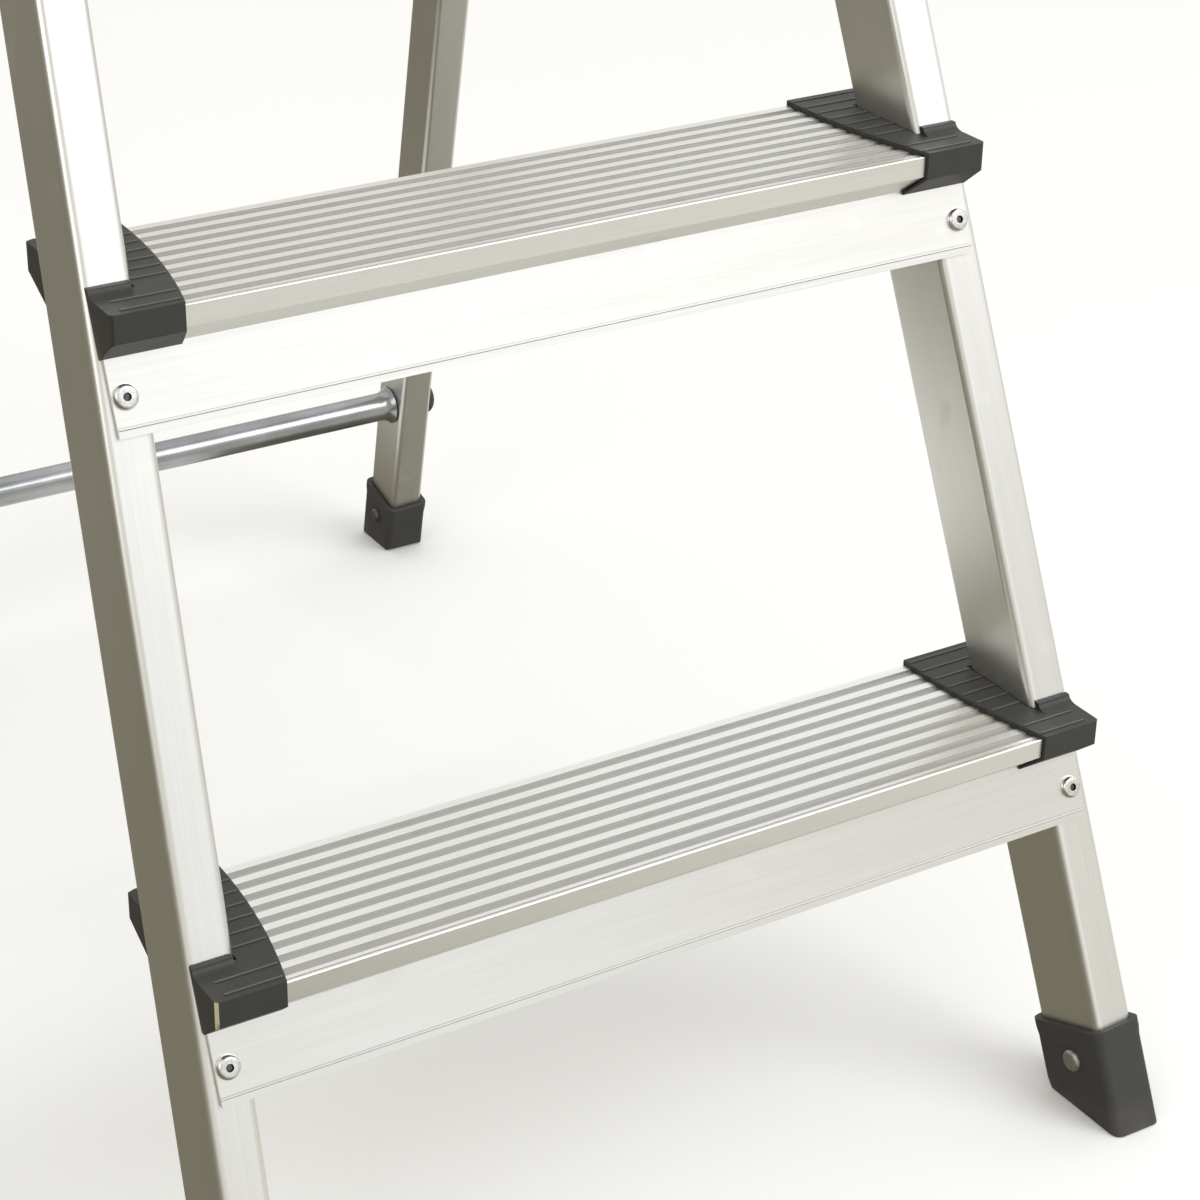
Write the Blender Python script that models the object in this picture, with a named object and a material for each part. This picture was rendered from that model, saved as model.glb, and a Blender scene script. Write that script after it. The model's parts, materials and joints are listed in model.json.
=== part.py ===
"""A free-standing aluminium platform step ladder, open and standing on the floor.

Metres, +Z up. X runs along the treads, the user climbs from -Y towards +Y.
The origin is on the floor, in the middle of the ladder's footprint.
"""

import math

import bmesh
import bpy
from mathutils import Matrix, Vector

# Driving sizes of the front frame.
FOOT_HALF_WIDTH = 0.214  # middle of the ladder to the outer face of a stile, at the floor
LEAN = math.radians(21.2)  # of the stiles, from upright
SPLAY = 0.0552  # how far a stile moves inwards for each metre it rises
STILE_WIDTH = 0.020
STILE_DEPTH = 0.040
STILE_WALL = 0.0015
STILE_RADIUS = 0.0035
FIRST_TREAD = 0.1785
TREAD_RISE = 0.228
TREAD_COUNT = 3

# The tread extrusion.
TREAD_DEPTH = 0.080
NOSE_REACH = 0.0195  # of the nose in front of the stiles
NOSE_HEIGHT = 0.0086
SKIRT_DROP = 0.0456  # from the top of the tread to the lower edge of its skirt
UNDERCUT_DROP = 0.0174  # from the top of the tread to where its undercut meets the skirt
TREAD_WALL = 0.0016
PLATE = 0.0020
RIB_HEIGHT = 0.0010
RIB_COUNT = 10
RIB_WIDTH = 0.0040
TREAD_INSET = 0.0030  # of the skirt's end from the stile's outer edge
TREAD_RIVET_DROP = 0.0328  # of the skirt's rivets below the top of the tread

# The rear frame.
LEG_WIDTH = STILE_WIDTH - 0.0010  # runs in a slot as wide as the stile
LEG_DEPTH = 0.028
LEG_WALL = 0.0013
LEG_RADIUS = 0.0025
REAR_FOOT_X = FOOT_HALF_WIDTH - 0.0183  # to the middle of a rear leg, at the floor
BASE_DEPTH = 0.671  # front face of a stile to the middle of a rear leg, at the floor
PLATFORM_HEIGHT = FIRST_TREAD + TREAD_COUNT * TREAD_RISE
HINGE_HEIGHT = PLATFORM_HEIGHT + 0.0275
HINGE_BACK = 0.075  # front face of a stile to the hinge axis, square to the stile
STILE_OVER_HINGE = 0.030
BAR_RADIUS = 0.008
BAR_BORE = BAR_RADIUS - 0.0012
LOWER_BAR_HEIGHT = 0.100
UPPER_BAR_HEIGHT = PLATFORM_HEIGHT - 0.0295

# The platform and the guard rail.
PLATFORM_HALF_WIDTH = FOOT_HALF_WIDTH - 0.083
PLATFORM_PIVOT_DROP = 0.025  # from the top of the platform to its pivot
PLATFORM_FRONT = 0.034  # from the pivot forwards to the front of the side frames
PLANK_COUNT = 3
RAIL_RADIUS = STILE_WIDTH / 2 + 0.0010
RAIL_WALL = 0.0015
RAIL_HEIGHT = PLATFORM_HEIGHT + 0.5875
RAIL_BEND = 0.055

# Clearances and small parts.
GAP = 0.0003
SEAT_GAP = 0.0001
BOOT_WALL = 0.0024
CAP_WALL = 0.0016
RIVET_RADIUS = 0.0024
ROUND_STEPS = 4
TURN_STEPS = 20
SMALL_STEPS = 14

# What follows from them.
TAN = math.tan(LEAN)
UP = Vector((0, math.sin(LEAN), math.cos(LEAN)))
BACK = Vector((0, math.cos(LEAN), -math.sin(LEAN)))
SLANT = math.sqrt(1 + TAN**2 + SPLAY**2)  # length of stile for each metre of height
HINGE_LENGTH = (HINGE_HEIGHT + HINGE_BACK * math.sin(LEAN)) * SLANT  # along the stile
HINGE_Y = HINGE_LENGTH / SLANT * TAN + HINGE_BACK * math.cos(LEAN)
REAR_TAN = (BASE_DEPTH - HINGE_Y) / HINGE_HEIGHT
REAR_LEAN = math.atan(REAR_TAN)
HINGE_X = FOOT_HALF_WIDTH - STILE_WIDTH / 2 - SPLAY * HINGE_LENGTH / SLANT
REAR_SPLAY = (REAR_FOOT_X - HINGE_X) / HINGE_HEIGHT
STILE_END = HINGE_LENGTH + STILE_OVER_HINGE
FRONT_TOE = -BOOT_WALL / math.cos(LEAN)
REAR_HEEL = BASE_DEPTH + (LEG_DEPTH / 2 + BOOT_WALL) / math.cos(REAR_LEAN)
FRONT_Y = -(FRONT_TOE + REAR_HEEL) / 2  # puts the origin in the middle of the footprint
PIVOT_HEIGHT = PLATFORM_HEIGHT - PLATFORM_PIVOT_DROP
PIVOT_Y = PIVOT_HEIGHT * TAN + STILE_DEPTH / 2 / math.cos(LEAN)
LEFT_RIGHT = (("left", -1), ("right", 1))


def clear_scene():
    for old in list(bpy.data.objects):
        bpy.data.objects.remove(old)


def finish(name, colour, roughness, metallic):
    found = bpy.data.materials.get(name)
    if found:
        return found
    made = bpy.data.materials.new(name)
    made.use_nodes = True
    shader = made.node_tree.nodes["Principled BSDF"]
    shader.inputs["Base Color"].default_value = (*colour, 1)
    shader.inputs["Roughness"].default_value = roughness
    shader.inputs["Metallic"].default_value = metallic
    return made


def satin_aluminium():
    return finish("satin_aluminium", (0.80, 0.79, 0.76), 0.38, 1.0)


def ribbed_aluminium():
    return finish("ribbed_aluminium", (0.74, 0.73, 0.71), 0.45, 1.0)


def zinc_tube():
    return finish("zinc_tube", (0.62, 0.64, 0.65), 0.25, 1.0)


def rivet_metal():
    return finish("rivet_metal", (0.78, 0.78, 0.77), 0.22, 1.0)


def black_plastic():
    return finish("black_plastic", (0.035, 0.035, 0.035), 0.42, 0.0)


def black_rubber():
    return finish("black_rubber", (0.028, 0.028, 0.027), 0.62, 0.0)


def stile_outer_x(height):
    return FOOT_HALF_WIDTH - SPLAY * height


def rear_leg_x(height):
    return REAR_FOOT_X - REAR_SPLAY * height


def rear_leg_y(height):
    return BASE_DEPTH - REAR_TAN * height


def axes_matrix(origin, x_axis, y_axis, z_axis):
    turned = Matrix((x_axis, y_axis, z_axis)).transposed().to_4x4()
    return Matrix.Translation(origin) @ turned


def stile_frame(side):
    """From the middle of the stile's front face at the floor: Y to its back, Z up along it."""
    along = Vector((-side * SPLAY, TAN, 1)).normalized()
    start = Vector((side * (FOOT_HALF_WIDTH - STILE_WIDTH / 2), FRONT_Y, 0))
    return axes_matrix(start, BACK.cross(along), BACK, along)


def rear_leg_frame(side):
    """From the middle of the rear leg's section at the floor: Y to its back, Z up along it."""
    back = Vector((0, math.cos(REAR_LEAN), math.sin(REAR_LEAN)))
    along = Vector((-side * REAR_SPLAY, -REAR_TAN, 1)).normalized()
    start = Vector((side * REAR_FOOT_X, FRONT_Y + BASE_DEPTH, 0))
    return axes_matrix(start, back.cross(along), back, along)


def tread_frame(height):
    """From the middle of the tread's top, where it meets the front faces of the stiles."""
    return Matrix.Translation((0, FRONT_Y + height * TAN, height))


def across(origin, side=1):
    """Z runs outwards along the world's X."""
    return axes_matrix(origin, Vector((0, 0, -side)), Vector((0, 1, 0)), Vector((side, 0, 0)))


def rounded_rectangle(width, depth, radius):
    """Corner arcs round a middle at 0, 0, anticlockwise."""
    points = []
    for quarter, (x, y) in enumerate(((1, 1), (-1, 1), (-1, -1), (1, -1))):
        middle = Vector((x * (width / 2 - radius), y * (depth / 2 - radius)))
        for step in range(ROUND_STEPS + 1):
            angle = math.pi / 2 * (quarter + step / ROUND_STEPS)
            points.append(middle + radius * Vector((math.cos(angle), math.sin(angle))))
    return points


def box(x_range, y_range, z_range):
    """A bmesh block between the given limits."""
    made = bmesh.new()
    size = [high - low for low, high in (x_range, y_range, z_range)]
    middle = [(high + low) / 2 for low, high in (x_range, y_range, z_range)]
    place = Matrix.Translation(middle) @ Matrix.Diagonal((*size, 1))
    bmesh.ops.create_cube(made, size=1, matrix=place)
    return made


def prism(outline, start, end):
    """The outline in X and Y, extruded in Z from start to end."""
    made = bmesh.new()
    base = made.faces.new([made.verts.new((x, y, start)) for x, y in outline])
    raised = bmesh.ops.extrude_face_region(made, geom=[base])
    moved = [item for item in raised["geom"] if isinstance(item, bmesh.types.BMVert)]
    bmesh.ops.translate(made, verts=moved, vec=(0, 0, end - start))
    bmesh.ops.recalc_face_normals(made, faces=made.faces)
    return made


def sideways_prism(outline, start, end):
    """The outline in Y and Z, extruded in X from start to end."""
    made = prism(outline, start, end)
    turn = Matrix(((0, 0, 1), (1, 0, 0), (0, 1, 0))).to_4x4()
    bmesh.ops.transform(made, matrix=turn, verts=made.verts)
    return made


def pipe(sections):
    """A hollow solid through matching sections, each a pair of outer and inner rings."""
    made = bmesh.new()
    rings = [
        [[made.verts.new(point) for point in ring] for ring in section]
        for section in sections
    ]
    count = len(rings[0][0])
    for here in range(count):
        there = (here + 1) % count
        for (outer, inner), (next_outer, next_inner) in zip(rings, rings[1:]):
            made.faces.new((outer[here], outer[there], next_outer[there], next_outer[here]))
            made.faces.new((inner[there], inner[here], next_inner[here], next_inner[there]))
        for outer, inner in (rings[0], rings[-1]):
            made.faces.new((outer[here], inner[here], inner[there], outer[there]))
    bmesh.ops.recalc_face_normals(made, faces=made.faces)
    return made


def box_tube(width, depth, radius, wall, start, end, middle_y=0):
    """A straight rectangular tube along Z, open at both ends."""
    outer = rounded_rectangle(width, depth, radius)
    inner = rounded_rectangle(width - 2 * wall, depth - 2 * wall, radius - wall)
    sections = [
        [[(x, y + middle_y, z) for x, y in ring] for ring in (outer, inner)]
        for z in (start, end)
    ]
    return pipe(sections)


def turned(profile, steps=TURN_STEPS):
    """The profile of radius and distance along Z, turned about Z into a closed solid."""
    made = bmesh.new()
    row = [made.verts.new((radius, 0, along)) for radius, along in profile]
    edges = [made.edges.new(pair) for pair in zip(row, row[1:])]
    if min(profile[0][0], profile[-1][0]) > 0:
        edges.append(made.edges.new((row[-1], row[0])))
    bmesh.ops.spin(
        made,
        geom=row + edges,
        axis=(0, 0, 1),
        cent=(0, 0, 0),
        angle=2 * math.pi,
        steps=steps,
        use_merge=True,
    )
    bmesh.ops.remove_doubles(made, verts=made.verts, dist=1e-6)
    bmesh.ops.recalc_face_normals(made, faces=made.faces)
    return made


def rod(radius, start, end, steps=16):
    return turned(((0, start), (radius, start), (radius, end), (0, end)), steps)


def moved(shape, matrix):
    bmesh.ops.transform(shape, matrix=matrix, verts=shape.verts)
    if matrix.determinant() < 0:
        bmesh.ops.reverse_faces(shape, faces=shape.faces)
    return shape


def joined(shapes):
    """Several separate closed shapes in one bmesh."""
    whole = bmesh.new()
    for shape in shapes:
        part = bpy.data.meshes.new("joined")
        shape.to_mesh(part)
        shape.free()
        whole.from_mesh(part)
        bpy.data.meshes.remove(part)
    return whole


def place(name, shape, matrix, material=None, axis=None):
    """An object from a bmesh, or from a mesh another object already has."""
    if isinstance(shape, bmesh.types.BMesh):
        mesh = bpy.data.meshes.new(name)
        shape.to_mesh(mesh)
        shape.free()
    else:
        mesh = shape
    obj = bpy.data.objects.new(name, mesh)
    bpy.context.scene.collection.objects.link(obj)
    if axis:
        obj.parent = axis
        obj.matrix_local = axis.matrix_world.inverted() @ matrix
    else:
        obj.matrix_local = matrix
    if material and not mesh.materials:
        mesh.materials.append(material)
    if material:
        mesh.shade_smooth()
        mesh.set_sharp_from_angle(angle=math.radians(30))
    return obj


def axis_empty(name, where):
    empty = bpy.data.objects.new(name, None)
    bpy.context.scene.collection.objects.link(empty)
    empty.matrix_world = Matrix.Translation(where)
    bpy.context.view_layer.update()
    return empty


def shape_with(obj, shape, matrix, operation="DIFFERENCE"):
    """Cuts the piece with a hidden helper, joins the helper to it, or keeps what both share."""
    helper = place(f"{obj.name}.{operation.lower()}{len(obj.modifiers)}", shape, matrix)
    helper.hide_render = True
    helper.display_type = "WIRE"
    boolean = obj.modifiers.new(operation.title(), "BOOLEAN")
    boolean.operation = operation
    boolean.solver = "EXACT"
    boolean.object = helper


def settled_mesh(obj, mirrored=False):
    """A new mesh with the object's modifiers applied, turned left for right if asked."""
    bpy.context.view_layer.update()
    graph = bpy.context.evaluated_depsgraph_get()
    mesh = bpy.data.meshes.new_from_object(obj.evaluated_get(graph))
    if mirrored:
        mesh.transform(Matrix.Diagonal((-1, 1, 1, 1)))
        mesh.flip_normals()
    return mesh


def discard(obj):
    """Removes an object that only served as a pattern, with its helpers."""
    for helper in [modifier.object for modifier in obj.modifiers]:
        bpy.data.objects.remove(helper)
    bpy.data.objects.remove(obj)


def tread_heights():
    return [FIRST_TREAD + step * TREAD_RISE for step in range(TREAD_COUNT)]


def tread_rivet_length(height):
    """Where a tread's rivet sits, measured along the stile."""
    return (height - TREAD_RIVET_DROP) * SLANT


# Stiles ---------------------------------------------------------------------

STILE_START = 0.0245
FOOT_RIVET_LENGTH = 0.0325
FOOT_RIVET_BACK = 0.018  # from the stile's front face
BRACKET_RIVET_DROP = 0.030  # of the bracket's rivet below the hinge, along the stile


def stile(name, side):
    shape = box_tube(
        STILE_WIDTH,
        STILE_DEPTH,
        STILE_RADIUS,
        STILE_WALL,
        STILE_START,
        STILE_END,
        middle_y=STILE_DEPTH / 2,
    )
    obj = place(name, shape, stile_frame(side), satin_aluminium())
    reach = STILE_WALL * 2
    forwards = Matrix.Rotation(math.radians(90), 4, "X")
    sideways = Matrix.Rotation(math.radians(90) * side, 4, "Y")
    hole = RIVET_RADIUS + GAP
    cuts = [
        moved(rod(hole, -reach, reach), Matrix.Translation((0, 0, length)) @ forwards)
        for length in map(tread_rivet_length, tread_heights())
    ]
    inner = Vector((-side * STILE_WIDTH / 2, FOOT_RIVET_BACK, FOOT_RIVET_LENGTH))
    outer = Vector((side * STILE_WIDTH / 2, STILE_DEPTH / 2, HINGE_LENGTH - BRACKET_RIVET_DROP))
    for at in (inner, outer):
        cuts.append(moved(rod(hole, -reach, reach), Matrix.Translation(at) @ sideways))
    shape_with(obj, joined(cuts), stile_frame(side))
    pivot = Vector((side * stile_outer_x(PIVOT_HEIGHT), FRONT_Y + PIVOT_Y, PIVOT_HEIGHT))
    bore = rod(BAR_RADIUS + GAP, -2 * STILE_WIDTH, STILE_WIDTH, TURN_STEPS)
    shape_with(obj, bore, across(pivot, side))
    return obj


# Treads ---------------------------------------------------------------------

BEAD_RISE = 0.0030  # of the thin line above the skirt's lower edge
BEAD_HEIGHT = 0.0004
REAR_FLANGE = 0.0100
FINE_GROOVE = 0.0006
FINE_GROOVE_SHARE = 0.42  # where it lies across the front rib


def skirt_front_y(z):
    """Front face of the skirt, which leans with the stiles it lies on."""
    return z * TAN - (GAP + TREAD_WALL) / math.cos(LEAN)


def skirt_back_y(z):
    return z * TAN - GAP / math.cos(LEAN)


def rib_line(grow=0.0, front=-NOSE_REACH, depth=TREAD_DEPTH, count=RIB_COUNT):
    """The ribbed top from front to back, as Y and Z, pushed outwards by grow."""
    pitch = (depth - RIB_WIDTH) / (count - 1)
    points = []
    for rib in range(count):
        start = front + rib * pitch - grow
        end = front + rib * pitch + RIB_WIDTH + grow
        points += [(start, grow - RIB_HEIGHT), (start, grow), (end, grow), (end, grow - RIB_HEIGHT)]
    return points[1:-1]


def front_groove(front=-NOSE_REACH):
    """A fine groove along the middle of the front rib, which starts the ribbed top."""
    middle = front + RIB_WIDTH * FINE_GROOVE_SHARE
    half = FINE_GROOVE / 2
    return [
        (front, -FINE_GROOVE / 2),
        (front + FINE_GROOVE / 2, 0),
        (middle - half, 0),
        (middle - half, -FINE_GROOVE),
        (middle + half, -FINE_GROOVE),
        (middle + half, 0),
    ]


def tread_outline():
    rear = TREAD_DEPTH - NOSE_REACH
    under = -RIB_HEIGHT - PLATE
    bead = -SKIRT_DROP + BEAD_RISE
    return front_groove() + rib_line()[1:] + [
        (rear, -REAR_FLANGE),
        (rear - TREAD_WALL, -REAR_FLANGE),
        (rear - TREAD_WALL, under),
        (skirt_back_y(under), under),
        (skirt_back_y(-SKIRT_DROP), -SKIRT_DROP),
        (skirt_front_y(-SKIRT_DROP), -SKIRT_DROP),
        (skirt_front_y(bead - BEAD_HEIGHT), bead - BEAD_HEIGHT),
        (skirt_front_y(bead) - BEAD_HEIGHT, bead),
        (skirt_front_y(bead + 2 * BEAD_HEIGHT), bead + 2 * BEAD_HEIGHT),
        (skirt_front_y(-UNDERCUT_DROP), -UNDERCUT_DROP),
        (-NOSE_REACH, -NOSE_HEIGHT),
    ]


def line_crossing(point, direction, z_to_y):
    """Where a line from the point meets the leaning plane given by z_to_y."""
    lean = z_to_y(1) - z_to_y(0)
    step = (z_to_y(point.y) - point.x) / (direction.x - lean * direction.y)
    return point + step * direction


def undercut():
    """The nose's lower corner and the direction of the slope below it, as Y and Z."""
    corner = Vector((-NOSE_REACH, -NOSE_HEIGHT))
    foot = Vector((skirt_front_y(-UNDERCUT_DROP), -UNDERCUT_DROP))
    return corner, (foot - corner).normalized()


def nose_chamber():
    """The hollow inside the nose, between the top plate, the undercut and the skirt."""
    under = -RIB_HEIGHT - PLATE
    corner, slope = undercut()
    inwards = Vector((-slope.y, slope.x)) * TREAD_WALL
    front = -NOSE_REACH + TREAD_WALL
    start = corner + inwards
    low = line_crossing(start, slope, skirt_front_y)
    turn = start + slope * ((front - start.x) / slope.x)
    return [(front, under), (skirt_front_y(under), under), tuple(low), tuple(turn)]


def tread(name, height):
    half = stile_outer_x(height) - TREAD_INSET
    frame = tread_frame(height)
    obj = place(name, sideways_prism(tread_outline(), -half, half), frame, ribbed_aluminium())
    shape_with(obj, sideways_prism(nose_chamber(), -half - GAP * 10, half + GAP * 10), frame)
    length = height * SLANT
    for _, side in LEFT_RIGHT:
        inner, outer = sorted((-side * (STILE_WIDTH / 2 + 2 * GAP), side * STILE_WIDTH * 2))
        notch = box(
            (inner, outer),
            (-GAP / 2, TREAD_DEPTH * 2),
            (length - TREAD_DEPTH, length + TREAD_DEPTH),
        )
        shape_with(obj, notch, stile_frame(side))
        at = Matrix.Translation((0, -GAP - TREAD_WALL / 2, tread_rivet_length(height)))
        hole = rod(RIVET_RADIUS + GAP, -TREAD_WALL, TREAD_WALL)
        across_skirt = at @ Matrix.Rotation(math.radians(90), 4, "X")
        shape_with(obj, hole, stile_frame(side) @ across_skirt)
    return obj


# Tread end caps -------------------------------------------------------------

CAP_FRONT_REACH = 0.0300  # from the stile's outer edge inwards, at the nose
CAP_REAR_REACH = 0.0415
CAP_TOP = 0.0018
CAP_FRONT_END = 0.0018  # from the stile's outer edge to the end of the front finger
CAP_REAR_END = 0.0040
CAP_ARC_STEPS = 14
CAP_CHAMFER = 0.0012
CAP_REAR_BEVEL = 0.0030
LIP_HEIGHT = 0.0028
LIP_RUN = 0.0060  # from the stile's front face to where the lip begins
LIP_EDGE = 0.0012  # its flat upper edge, on both sides of that face
LIP_STEPS = 4
LINE_HEIGHT = 0.00035
LINE_WIDTH = 0.0009
LINE_INSET = 0.0030
CAP_REAR_DROP = 0.0090
CAP_ROOT_DROP = 0.0240


def cap_plan():
    """Seen from above on the left side: X is the distance in from the stile's outer edge."""
    front = -NOSE_REACH - CAP_WALL
    rear = TREAD_DEPTH - NOSE_REACH + CAP_WALL
    points = [
        (CAP_FRONT_END, 0.0),
        (CAP_FRONT_END, front + CAP_CHAMFER),
        (CAP_FRONT_END + CAP_CHAMFER, front),
    ]
    for step in range(CAP_ARC_STEPS + 1):
        y = front + (rear - front) * step / CAP_ARC_STEPS
        points.append((cap_reach(y), y))
    points += [(CAP_REAR_END + CAP_REAR_BEVEL, rear), (CAP_REAR_END, rear - CAP_CHAMFER)]
    return points + [(CAP_REAR_END, STILE_DEPTH / 2)]


def cap_outline():
    """Seen from the side, as Y and Z: the nose, its undercut, and the sloping rear finger."""
    front = -NOSE_REACH - CAP_WALL
    rear = TREAD_DEPTH - NOSE_REACH + CAP_WALL
    corner, slope = undercut()
    start = corner + Vector((slope.y, -slope.x)) * CAP_WALL
    turn = start + slope * ((front - start.x) / slope.x)
    low = line_crossing(start, slope, skirt_front_y)
    root = STILE_DEPTH / math.cos(LEAN) - CAP_ROOT_DROP * TAN
    return [
        (front, turn.y),
        (front, CAP_TOP),
        (rear, CAP_TOP),
        (rear, -CAP_REAR_DROP),
        (root, -CAP_ROOT_DROP),
        (root / 2, -CAP_ROOT_DROP),
        (root / 2, low.y),
        tuple(low),
    ]


def cap_hollow():
    """The room the tread's end takes up inside the cap, as Y and Z."""
    rear = TREAD_DEPTH - NOSE_REACH
    corner, slope = undercut()
    outwards = Vector((slope.y, -slope.x)) * GAP
    start = corner + outwards
    front = -NOSE_REACH - GAP
    turn = start + slope * ((front - start.x) / slope.x)
    low = line_crossing(start, slope, skirt_front_y)
    under = -RIB_HEIGHT - PLATE - GAP
    deep = -SKIRT_DROP
    return rib_line(GAP) + [
        (rear + GAP, -REAR_FLANGE - GAP),
        (rear - TREAD_WALL - GAP, -REAR_FLANGE - GAP),
        (rear - TREAD_WALL - GAP, under),
        (skirt_back_y(under) + GAP, under),
        (skirt_back_y(deep) + GAP, deep),
        (skirt_front_y(deep) - GAP, deep),
        (low.x - GAP, low.y - GAP),
        tuple(turn),
    ]


def nose_hollow():
    """The room the tread's nose and skirt take up where they pass in front of the stile."""
    nose = cap_hollow()
    turn = nose[-1]
    front = -NOSE_REACH - GAP
    deep = -SKIRT_DROP
    return [
        (front, GAP),
        (skirt_back_y(GAP) + 2 * GAP, GAP),
        (skirt_back_y(deep) + 2 * GAP, deep),
        *nose[-3:-1],
        turn,
    ]


def lip_outline():
    """The cap's hollow ramp up to the stile's front face, as Y and Z."""
    points = [(LIP_EDGE, CAP_TOP - LINE_HEIGHT), (-LIP_RUN, CAP_TOP - LINE_HEIGHT)]
    for step in range(LIP_STEPS + 1):
        angle = math.pi / 2 * step / LIP_STEPS
        y = -LIP_RUN + (LIP_RUN - LIP_EDGE) * math.sin(angle)
        points.append((y, CAP_TOP + LIP_HEIGHT * (1 - math.cos(angle))))
    return points + [(LIP_EDGE, CAP_TOP + LIP_HEIGHT)]


def rib_middles():
    pitch = (TREAD_DEPTH - RIB_WIDTH) / (RIB_COUNT - 1)
    return [-NOSE_REACH + RIB_WIDTH / 2 + rib * pitch for rib in range(RIB_COUNT)]


def cap_line(y):
    """One thin raised line on the cap's top, in line with a rib of the tread."""
    beside_stile = abs(y - STILE_DEPTH / 2) < STILE_DEPTH / 2
    start = STILE_WIDTH if beside_stile else CAP_REAR_END + LINE_INSET
    return box(
        (start, cap_reach(y) - LINE_WIDTH),
        (y - LINE_WIDTH / 2, y + LINE_WIDTH / 2),
        (CAP_TOP - LINE_HEIGHT, CAP_TOP + LINE_HEIGHT),
    )


def cap_pattern():
    """The left cap, with X running inwards from the stile's outer edge at the tread's top."""
    plan = prism(cap_plan(), -2 * CAP_ROOT_DROP, 2 * CAP_ROOT_DROP)
    obj = place("cap_pattern", plan, Matrix.Identity(4), black_plastic())
    still = Matrix.Identity(4)
    wide = 2 * CAP_REAR_REACH
    shape_with(obj, sideways_prism(cap_outline(), -wide, wide), still, "INTERSECT")
    lip = sideways_prism(lip_outline(), CAP_FRONT_END, STILE_WIDTH - STILE_RADIUS / 2)
    shape_with(obj, lip, still, "UNION")
    lines = [cap_line(y) for y in rib_middles() if y < -LIP_RUN or y > LIP_EDGE]
    shape_with(obj, joined(lines), still, "UNION")
    shape_with(obj, sideways_prism(cap_hollow(), STILE_WIDTH - 2 * GAP, wide), still)
    shape_with(obj, sideways_prism(nose_hollow(), TREAD_INSET - GAP, STILE_WIDTH), still)
    pocket = box(
        (STILE_WIDTH + 2 * GAP + CAP_WALL, wide),
        (CAP_WALL, TREAD_DEPTH - NOSE_REACH - TREAD_WALL - GAP - CAP_WALL),
        (-2 * CAP_ROOT_DROP, -RIB_HEIGHT - PLATE - GAP - CAP_WALL),
    )
    shape_with(obj, pocket, still)
    along = Vector((SPLAY, TAN, 1)).normalized()
    middle = Vector((STILE_WIDTH / 2, 0, 0))
    slot = box(
        (-2 * STILE_WIDTH, STILE_WIDTH / 2 + GAP),
        (-GAP, STILE_DEPTH + GAP),
        (-TREAD_DEPTH, TREAD_DEPTH),
    )
    shape_with(obj, slot, axes_matrix(middle, BACK.cross(along), BACK, along))
    return obj


def cap_reach(y):
    """How far in the cap's curved edge is at a depth of y."""
    front = -NOSE_REACH - CAP_WALL
    rear = TREAD_DEPTH - NOSE_REACH + CAP_WALL
    bow = ((rear - y) / (rear - front)) ** 2
    return CAP_REAR_REACH - (CAP_REAR_REACH - CAP_FRONT_REACH) * bow


def tread_caps():
    pattern = cap_pattern()
    meshes = {-1: settled_mesh(pattern), 1: settled_mesh(pattern, mirrored=True)}
    discard(pattern)
    for number, height in enumerate(tread_heights(), 1):
        for word, side in LEFT_RIGHT:
            at = tread_frame(height) @ Matrix.Translation((side * stile_outer_x(height), 0, 0))
            place(f"tread_cap_{word}_{number}", meshes[side], at, black_plastic())


# Rivets ---------------------------------------------------------------------

HEAD_RADIUS = 0.0048
HEAD_HEIGHT = 0.0022
FRONT_FOOT_HEAD = 0.0051
REAR_FOOT_HEAD = 0.0040
BLIND_RADIUS = 0.0034
MANDREL_BORE = 0.0015


def blind_rivet(grip, head=HEAD_RADIUS, mandrel_hole=False):
    """A blind rivet on its seat, Z pointing out of the work. The grip is what it holds."""
    bore = MANDREL_BORE
    inner = [(0, -grip / 2), (bore, -grip / 2), (bore, HEAD_HEIGHT)]
    dome = [
        (bore * 2, HEAD_HEIGHT),
        (head * 0.82, HEAD_HEIGHT * 0.62),
        (head, HEAD_HEIGHT * 0.2),
        (head, SEAT_GAP),
    ]
    tail = [
        (RIVET_RADIUS, SEAT_GAP),
        (RIVET_RADIUS, -grip - SEAT_GAP),
        (BLIND_RADIUS, -grip - GAP),
        (BLIND_RADIUS, -grip - GAP - HEAD_HEIGHT / 2),
        (0, -grip - GAP - HEAD_HEIGHT),
    ]
    top = inner if mandrel_hole else [(0, HEAD_HEIGHT * 1.05)]
    return turned(top + dome + tail, SMALL_STEPS)


def tread_rivets():
    grip = GAP + TREAD_WALL + STILE_WALL
    mesh = None
    forwards = Matrix.Rotation(math.radians(90), 4, "X")
    for number, height in enumerate(tread_heights(), 1):
        for word, side in LEFT_RIGHT:
            at = Matrix.Translation((0, -GAP - TREAD_WALL, tread_rivet_length(height)))
            shape = mesh or blind_rivet(grip, mandrel_hole=True)
            seat = stile_frame(side) @ at @ forwards
            obj = place(f"tread_rivet_{word}_{number}", shape, seat, rivet_metal())
            mesh = obj.data


def side_rivet(name, frame, at, facing, grip, axis=None, head=HEAD_RADIUS):
    """A rivet through a side wall, its head towards +X or -X of the given frame."""
    turn = Matrix.Rotation(math.radians(90) * facing, 4, "Y")
    shape = blind_rivet(grip, head)
    return place(name, shape, frame @ Matrix.Translation(at) @ turn, rivet_metal(), axis)


# Feet -----------------------------------------------------------------------

FRONT_BOOT_TOP = 0.048
REAR_BOOT_TOP = 0.036
RIM_HEIGHT = 0.0040
RIM_GROW = 0.0005
HEEL_RISE = 0.0085
HEEL_RUN = 0.0050
LEG_START = 0.0105
REAR_RIVET_LENGTH = 0.021


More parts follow.
